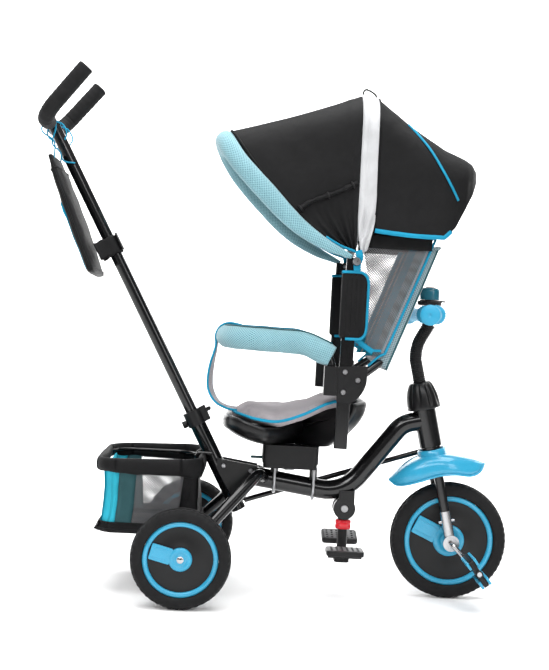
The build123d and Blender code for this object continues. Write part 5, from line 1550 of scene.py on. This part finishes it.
for p in ring:
    d = p - middle
    d[2] = 0
    d /= np.linalg.norm(d)
    crease = noise.noise(Vector(p) * 0.028)
    row = []
    for q in np.linspace(0, 2 * pi, 26, endpoint=False):
        a, b = cos(q), sin(q)
        w = 8.6 * copysign(abs(a) ** 0.75, a) * (1 + 0.3 * crease)
        h = (17 + 3 * (p[0] + 70) / 100) * copysign(abs(b) ** 0.9, b) + (4.0 * crease if b < 0 else 0)
        row.append(at(*(p + d * w + np.array((0, 0, h)))))
    rim_rows.append(row)
rim_rows.append(rim_rows[0])
sleeve = grid("basket_sleeve", rim_rows, black_cloth, wrap=True)
place(sleeve, "frame", "basket_cloth")
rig.padded(sleeve, 0.5)

# ------------------------------------------------------------------ parent's bag
top_p, foot_p = np.array((-322, 909.0)), np.array((-222, 668.0))
way = (foot_p - top_p) / np.linalg.norm(foot_p - top_p)
nrm = np.array((-way[1], way[0]))
if nrm[0] > 0:
    nrm = -nrm
length = np.linalg.norm(foot_p - top_p)
rows = []
for k in np.linspace(0, 1, 44):
    along = -2 + (length + 2) * k
    half = 92 * (0.9 + 0.1 * min(1, k / 0.3, (1 - k) / 0.02 + 0.6))
    thick = float(np.interp(k, [0, 0.08, 0.12, 0.4, 0.7, 0.92, 1.0], [4.5, 5.5, 9, 11, 11.5, 9, 8]))
    sagging = 4 * sin(pi * k)
    ring = []
    for q in np.linspace(0, 2 * pi, 60, endpoint=False):
        a = copysign(abs(cos(q)) ** 0.45, cos(q))
        b = copysign(abs(sin(q)) ** 0.6, sin(q))
        off = b * thick + (sagging * (1 - a * a) if b > 0 else 0)
        p = top_p + way * (along + 4 * a * (k > 0.97)) + nrm * off
        h = noise.noise(Vector((k * 7, a * 3, b))) * 1.8
        ring.append(at(p[0] + nrm[0] * h, a * half, p[1] + nrm[1] * h))
    rows.append(ring)
bag = grid("p", rows, black_cloth, wrap=True, caps=True)
bits = [bag]
for k in (5, 42):
    bits.append(sweep("p", np.array(rows[k] + [rows[k][0]]), 0.0020, black_cloth, 8, closed=True))
for j in (0, 30):
    bits.append(sweep("p", np.array([r[j] for r in rows[2:-2]]), 0.0018, black_cloth, 8))
for j in (8, 22):
    edge_pts = np.array([r[j] for r in rows[17:43]]) + np.array((nrm[0], 0, nrm[1])) * 0.001
    bits.append(sweep("p", edge_pts, lambda t: 0.0018 + 0.0042 * exp(-((t - 0.12) / 0.09) ** 2), binding, 10,
        flat=0.6))
mouth = np.array([r + np.array((nrm[0], 0, nrm[1])) * 0.001 for r in np.array(rows[17])[8:23]])
bits.append(sweep("p", mouth, 0.0022, binding, 8, side=Z))
strap_c = stem(0, 0, (730 - STEM_Z) / cos(LEAN))
us0 = np.array((cos(LEAN), 0, sin(LEAN)))
wrap = curve([(-32, -30), (-24, -24), (-12, -18.4), (0, -17.4), (11, -14), (17.4, 0), (11, 14), (0, 17.4),
    (-12, 18.4), (-24, 24), (-32, 30)], 60)
band = []
for h in np.linspace(-20, 20, 9):
    band.append([strap_c + us0 * (f / 1000) + np.array((0, y / 1000, 0)) + STEM_UP * (h + 1.2 * sin(f * 0.3)) for f,
        y in wrap])
bits.append(thicken(grid("p", band, black_cloth), 0.0022, 0))
tab = [[strap_c + us0 * ((18.6 + 1.6 * u) / 1000) + np.array((0, -0.016 + 0.024 * u, 0)) + STEM_UP * h
    for u in np.linspace(0, 1, 5)] for h in np.linspace(-17, 22, 6)]
bits.append(thicken(grid("p", tab, black_cloth), 0.0022, 0))
bag_all = join("parent_bag_cloth", bits)
place(bag_all, "handle", "black_cloth", "parent_bag")
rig.padded(bag_all, 0.3)
# laces that tie the bag's top to the bar
horn_x = (stem(0, 0, (HORN_Z - STEM_Z) / cos(LEAN))[0] - AXLE_X) * 1000


# The laces' lines are drawn, and each one's declared length is the length of its own line.
def lace(name, pts, steps, lay, far_end, radius=0.0017, extra=()):
    line = curve(pts, steps)
    thing = place(sweep(name, line, radius, binding, 10, side=Y), "handle", "edging_cloth")
    long = float(np.linalg.norm(np.diff(line, axis=0), axis=1).sum())
    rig.cord(thing, exit=tuple(line[0]), length=long, diameter=2 * radius, far_end=far_end, stiffness="limp",
        lay=lay,
        path=[tuple(p) for p in line], with_pieces=extra)


for s, end in ((-1, "right"), (1, "left")):
    c = at(horn_x - 4, s * 33, HORN_Z)
    ring = [c + np.array((cos(q) * 0.0142, s * 0.004 * sin(q / 2), sin(q) * 0.0142))
        for q in np.linspace(0, 2 * pi, 25)]
    loop_round = place(sweep("lace_loop_" + end, np.array(ring), 0.0024, binding, 8, closed=True, side=Y, flat=0.5),
        "handle", "edging_cloth")
    lace("lace_front_" + end, [c + np.array((0.0132, -0.002 * s, 0.004)), c + np.array((0.015, s * 0.004, -0.014)),
        c + np.array((0.010, s * 0.008, -0.045)),
        at(top_p[0] + 14, s * 38, top_p[1] + 14), at(top_p[0] + 22, s * 30, top_p[1] - 4),
        at(top_p[0] + 44, s * 16, top_p[1] - 6)], 50, "hanging", "object", extra=(loop_round,))
    lace("lace_back_" + end, [c + np.array((-0.0138, 0, -0.002)), c + np.array((-0.012, s * 0.006, -0.022)),
        at(top_p[0] + 2, s * 44, top_p[1] + 34), at(top_p[0] + 4, s * 46, top_p[1] - 6)], 36, "hanging", "object")
    lace("lace_tail_" + end, [c + np.array((0.0142, s * 0.004, 0.002)), c + np.array((0.030, s * 0.008, -0.004)),
        c + np.array((0.040, s * 0.012, -0.022)), c + np.array((0.036, s * 0.006, -0.036))], 30, "hanging", "bare")


# foam sleeves on the horns
bits = []
for s in (-1, 1):
    start = at(horn_x - 4, s * 42, HORN_Z)
    corner_h = at(horn_x - 4, s * 112, HORN_Z)
    tip = at(-251, s * 122, 1088)
    past = tip + (tip - corner_h) / np.linalg.norm(tip - corner_h) * 0.001
    line = rounded([start, corner_h, past], 0.046, 90)
    bits.append(sweep("p", line, lambda t: 0.0169 + 0.00025 * sin(t * 90), grip_foam, 30, caps=False, side=X))
    way_t = (line[-1] - line[-3]) / np.linalg.norm(line[-1] - line[-3])
    bits.append(lathe("p", [(16.9, -1), (16.8, 1.2), (15.2, 3.2), (12, 4.2), (6, 4.4), (3, 3.6), (0.01, 3.4)],
        line[-1], way_t, grip_foam, 30))
    bits.append(lathe("p", [(16.9, 0.8), (15.6, -1.4), (12.1, -1.8)], line[0], (line[2] - line[0]), grip_foam, 30))
place(join("foam_sleeves", bits), "handle", "foam_black", "foam_grips")

# ------------------------------------------------------------------ footrest
FX = 342
bits = []
bits.append(lathe("p", [(0.01, -8), (18, -8), (20, -6.5), (20, 6.5), (18, 8), (0.01, 8)], at(FX, 0, 187), Y,
    black_satin, 64))
bits.append(prism("p", oval(11, 10, 2), at(FX, 0, 170), X, Z, 16, black_satin, 1))
stem_line = np.linspace(at(FX, 0, 84), at(FX, 0, 161), 12)
bits.append(sweep("p", stem_line, 0.011, black_satin, 28))
block_rows = []
for z, a, b in ((68, 14, 15), (69.5, 16, 17.6), (72, 16.5, 18), (73, 15.4, 17), (75, 16.5, 18), (77, 16.5, 18),
    (78, 15.4, 17), (80, 16.5, 18), (82.5, 16, 17.5), (84.5, 13, 14)):
    block_rows.append([at(FX + p[0], p[1], z) for p in oval(a, b, 5, 5)])
bits.append(grid("p", block_rows, black_satin, wrap=True, caps=True))
bits.append(sweep("p", np.linspace(at(FX, -96, 100), at(FX, 70, 100), 10), 0.006, black_satin, 18))
dots = plastic("footplate_tread", (0.085, 0.087, 0.09), 0.45)
for s, dz, tilt in ((-1, 3, 0.0), (1, 9, radians(14))):
    v = np.array((0, cos(tilt), sin(tilt)))
    w = np.array((0, -sin(tilt), cos(tilt)))
    c = at(FX, s * 72, 100 + dz)
    bits.append(prism("p", oval(40, 29, 9), c, X, v, 11.5, black_satin, 2.6))
    bits.append(prism("p", oval(34, 23, 6), c + w * 0.0058, X, v, 0.9, dots, 0.3))
    for i in range(6):
        for j in range(4):
            p = c + np.array((1, 0, 0)) * (i - 2.5) * 0.0112 + v * (j - 1.5) * 0.0112 + w * 0.0062
            bits.append(lathe("p", [(0.01, 1.1), (2.0, 0.9), (2.9, 0.1), (3.0, -0.6)], p, w, black_rib, 12))
    for k in (-1, 1):
        bits.append(prism("p", oval(36, 3, 1.4), c - w * 0.0085 + v * k * 0.012, X, w, 5, black_satin, 0.8))
place(join("footrest_body", bits), "footrest", "black_plastic", "footrest")
ring_rows = []
for z, a in ((140.6, 14.5), (141.2, 16.2), (143.5, 17), (149, 17), (150, 16.4), (152, 16.4), (153, 17), (158.5, 17),
    (160.8, 16.2), (161.5, 14.3)):
    ring_rows.append([at(FX + p[0], p[1], z) for p in oval(a, a, 9, 6)])
collar_bits = [grid("p", ring_rows, red_gloss, wrap=True, caps=True)]
for y in (-17.2, 17.2):
    collar_bits.append(prism("p", oval(9, 5, 2.5), at(FX, y, 151), X, Z, 1.6, red_gloss, 0.6))
place(join("red_lock_collar", collar_bits), "footrest", "red_plastic", "footrest_collar")

# ------------------------------------------------------------------ floor
floor_mat = Shade("studio_floor")
floor_mat.link(floor_mat.ramp(floor_mat.noise(1.2, 2), 0, [(0.3, (0.90, 0.90, 0.90)), (0.7, (0.94, 0.94, 0.94))]),
    0, floor_mat.b, "Base Color")
floor_mat.set(Roughness=0.7)
side_pts = curve([(-6, 0), (0, 0), (3.2, 0.0), (4.6, 0.35), (5.4, 1.6), (5.6, 4.2)], 60)
floor_rows = [[np.array((x, y, z)) for x in np.linspace(-7, 7, 20)] for y, z in side_pts]
floor = grid("floor", floor_rows, floor_mat.m)

def made(*names):
    return [bpy.data.objects[name] for name in names]


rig.sheet(*made("canopy_front_cloth"), (0.30, 0.92), "hung", ("canopy_rim", "canopy_hood"), area=0.166,
    with_pieces=made("canopy_hem_left", "canopy_hem_right", "canopy_front_seam", "window_roll_left",
    "window_roll_right"))
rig.sheet(*made("canopy_hood_shell"), (0.30, 0.90), "stretched", ("back_frame",), area=0.180,
    with_pieces=made("hood_binding"))
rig.sheet(*made("canopy_stripe"), (0.045, 0.92), "stretched", ("back_frame",), area=0.0358,
    with_pieces=made("stripe_crease"))
for wing in made("wing_left", "wing_right"):
    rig.sheet(wing, (0.15, 0.26), "stretched", ("back_frame", "seat_posts"), area=0.0221)
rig.sheet(strap_cloth, (0.075, 0.27), "hung", ("safety_bar",))
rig.sheet(*made("basket_walls"), (0.50, 0.62), "hung", ("basket_rim",), area=0.210)
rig.stage(floor)

with open("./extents.json", "w") as out_file:
    json.dump({"cad": [list(map(float, p)) for p in cad_box], "visual": [list(map(float, p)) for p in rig.bounds()]},
        out_file)
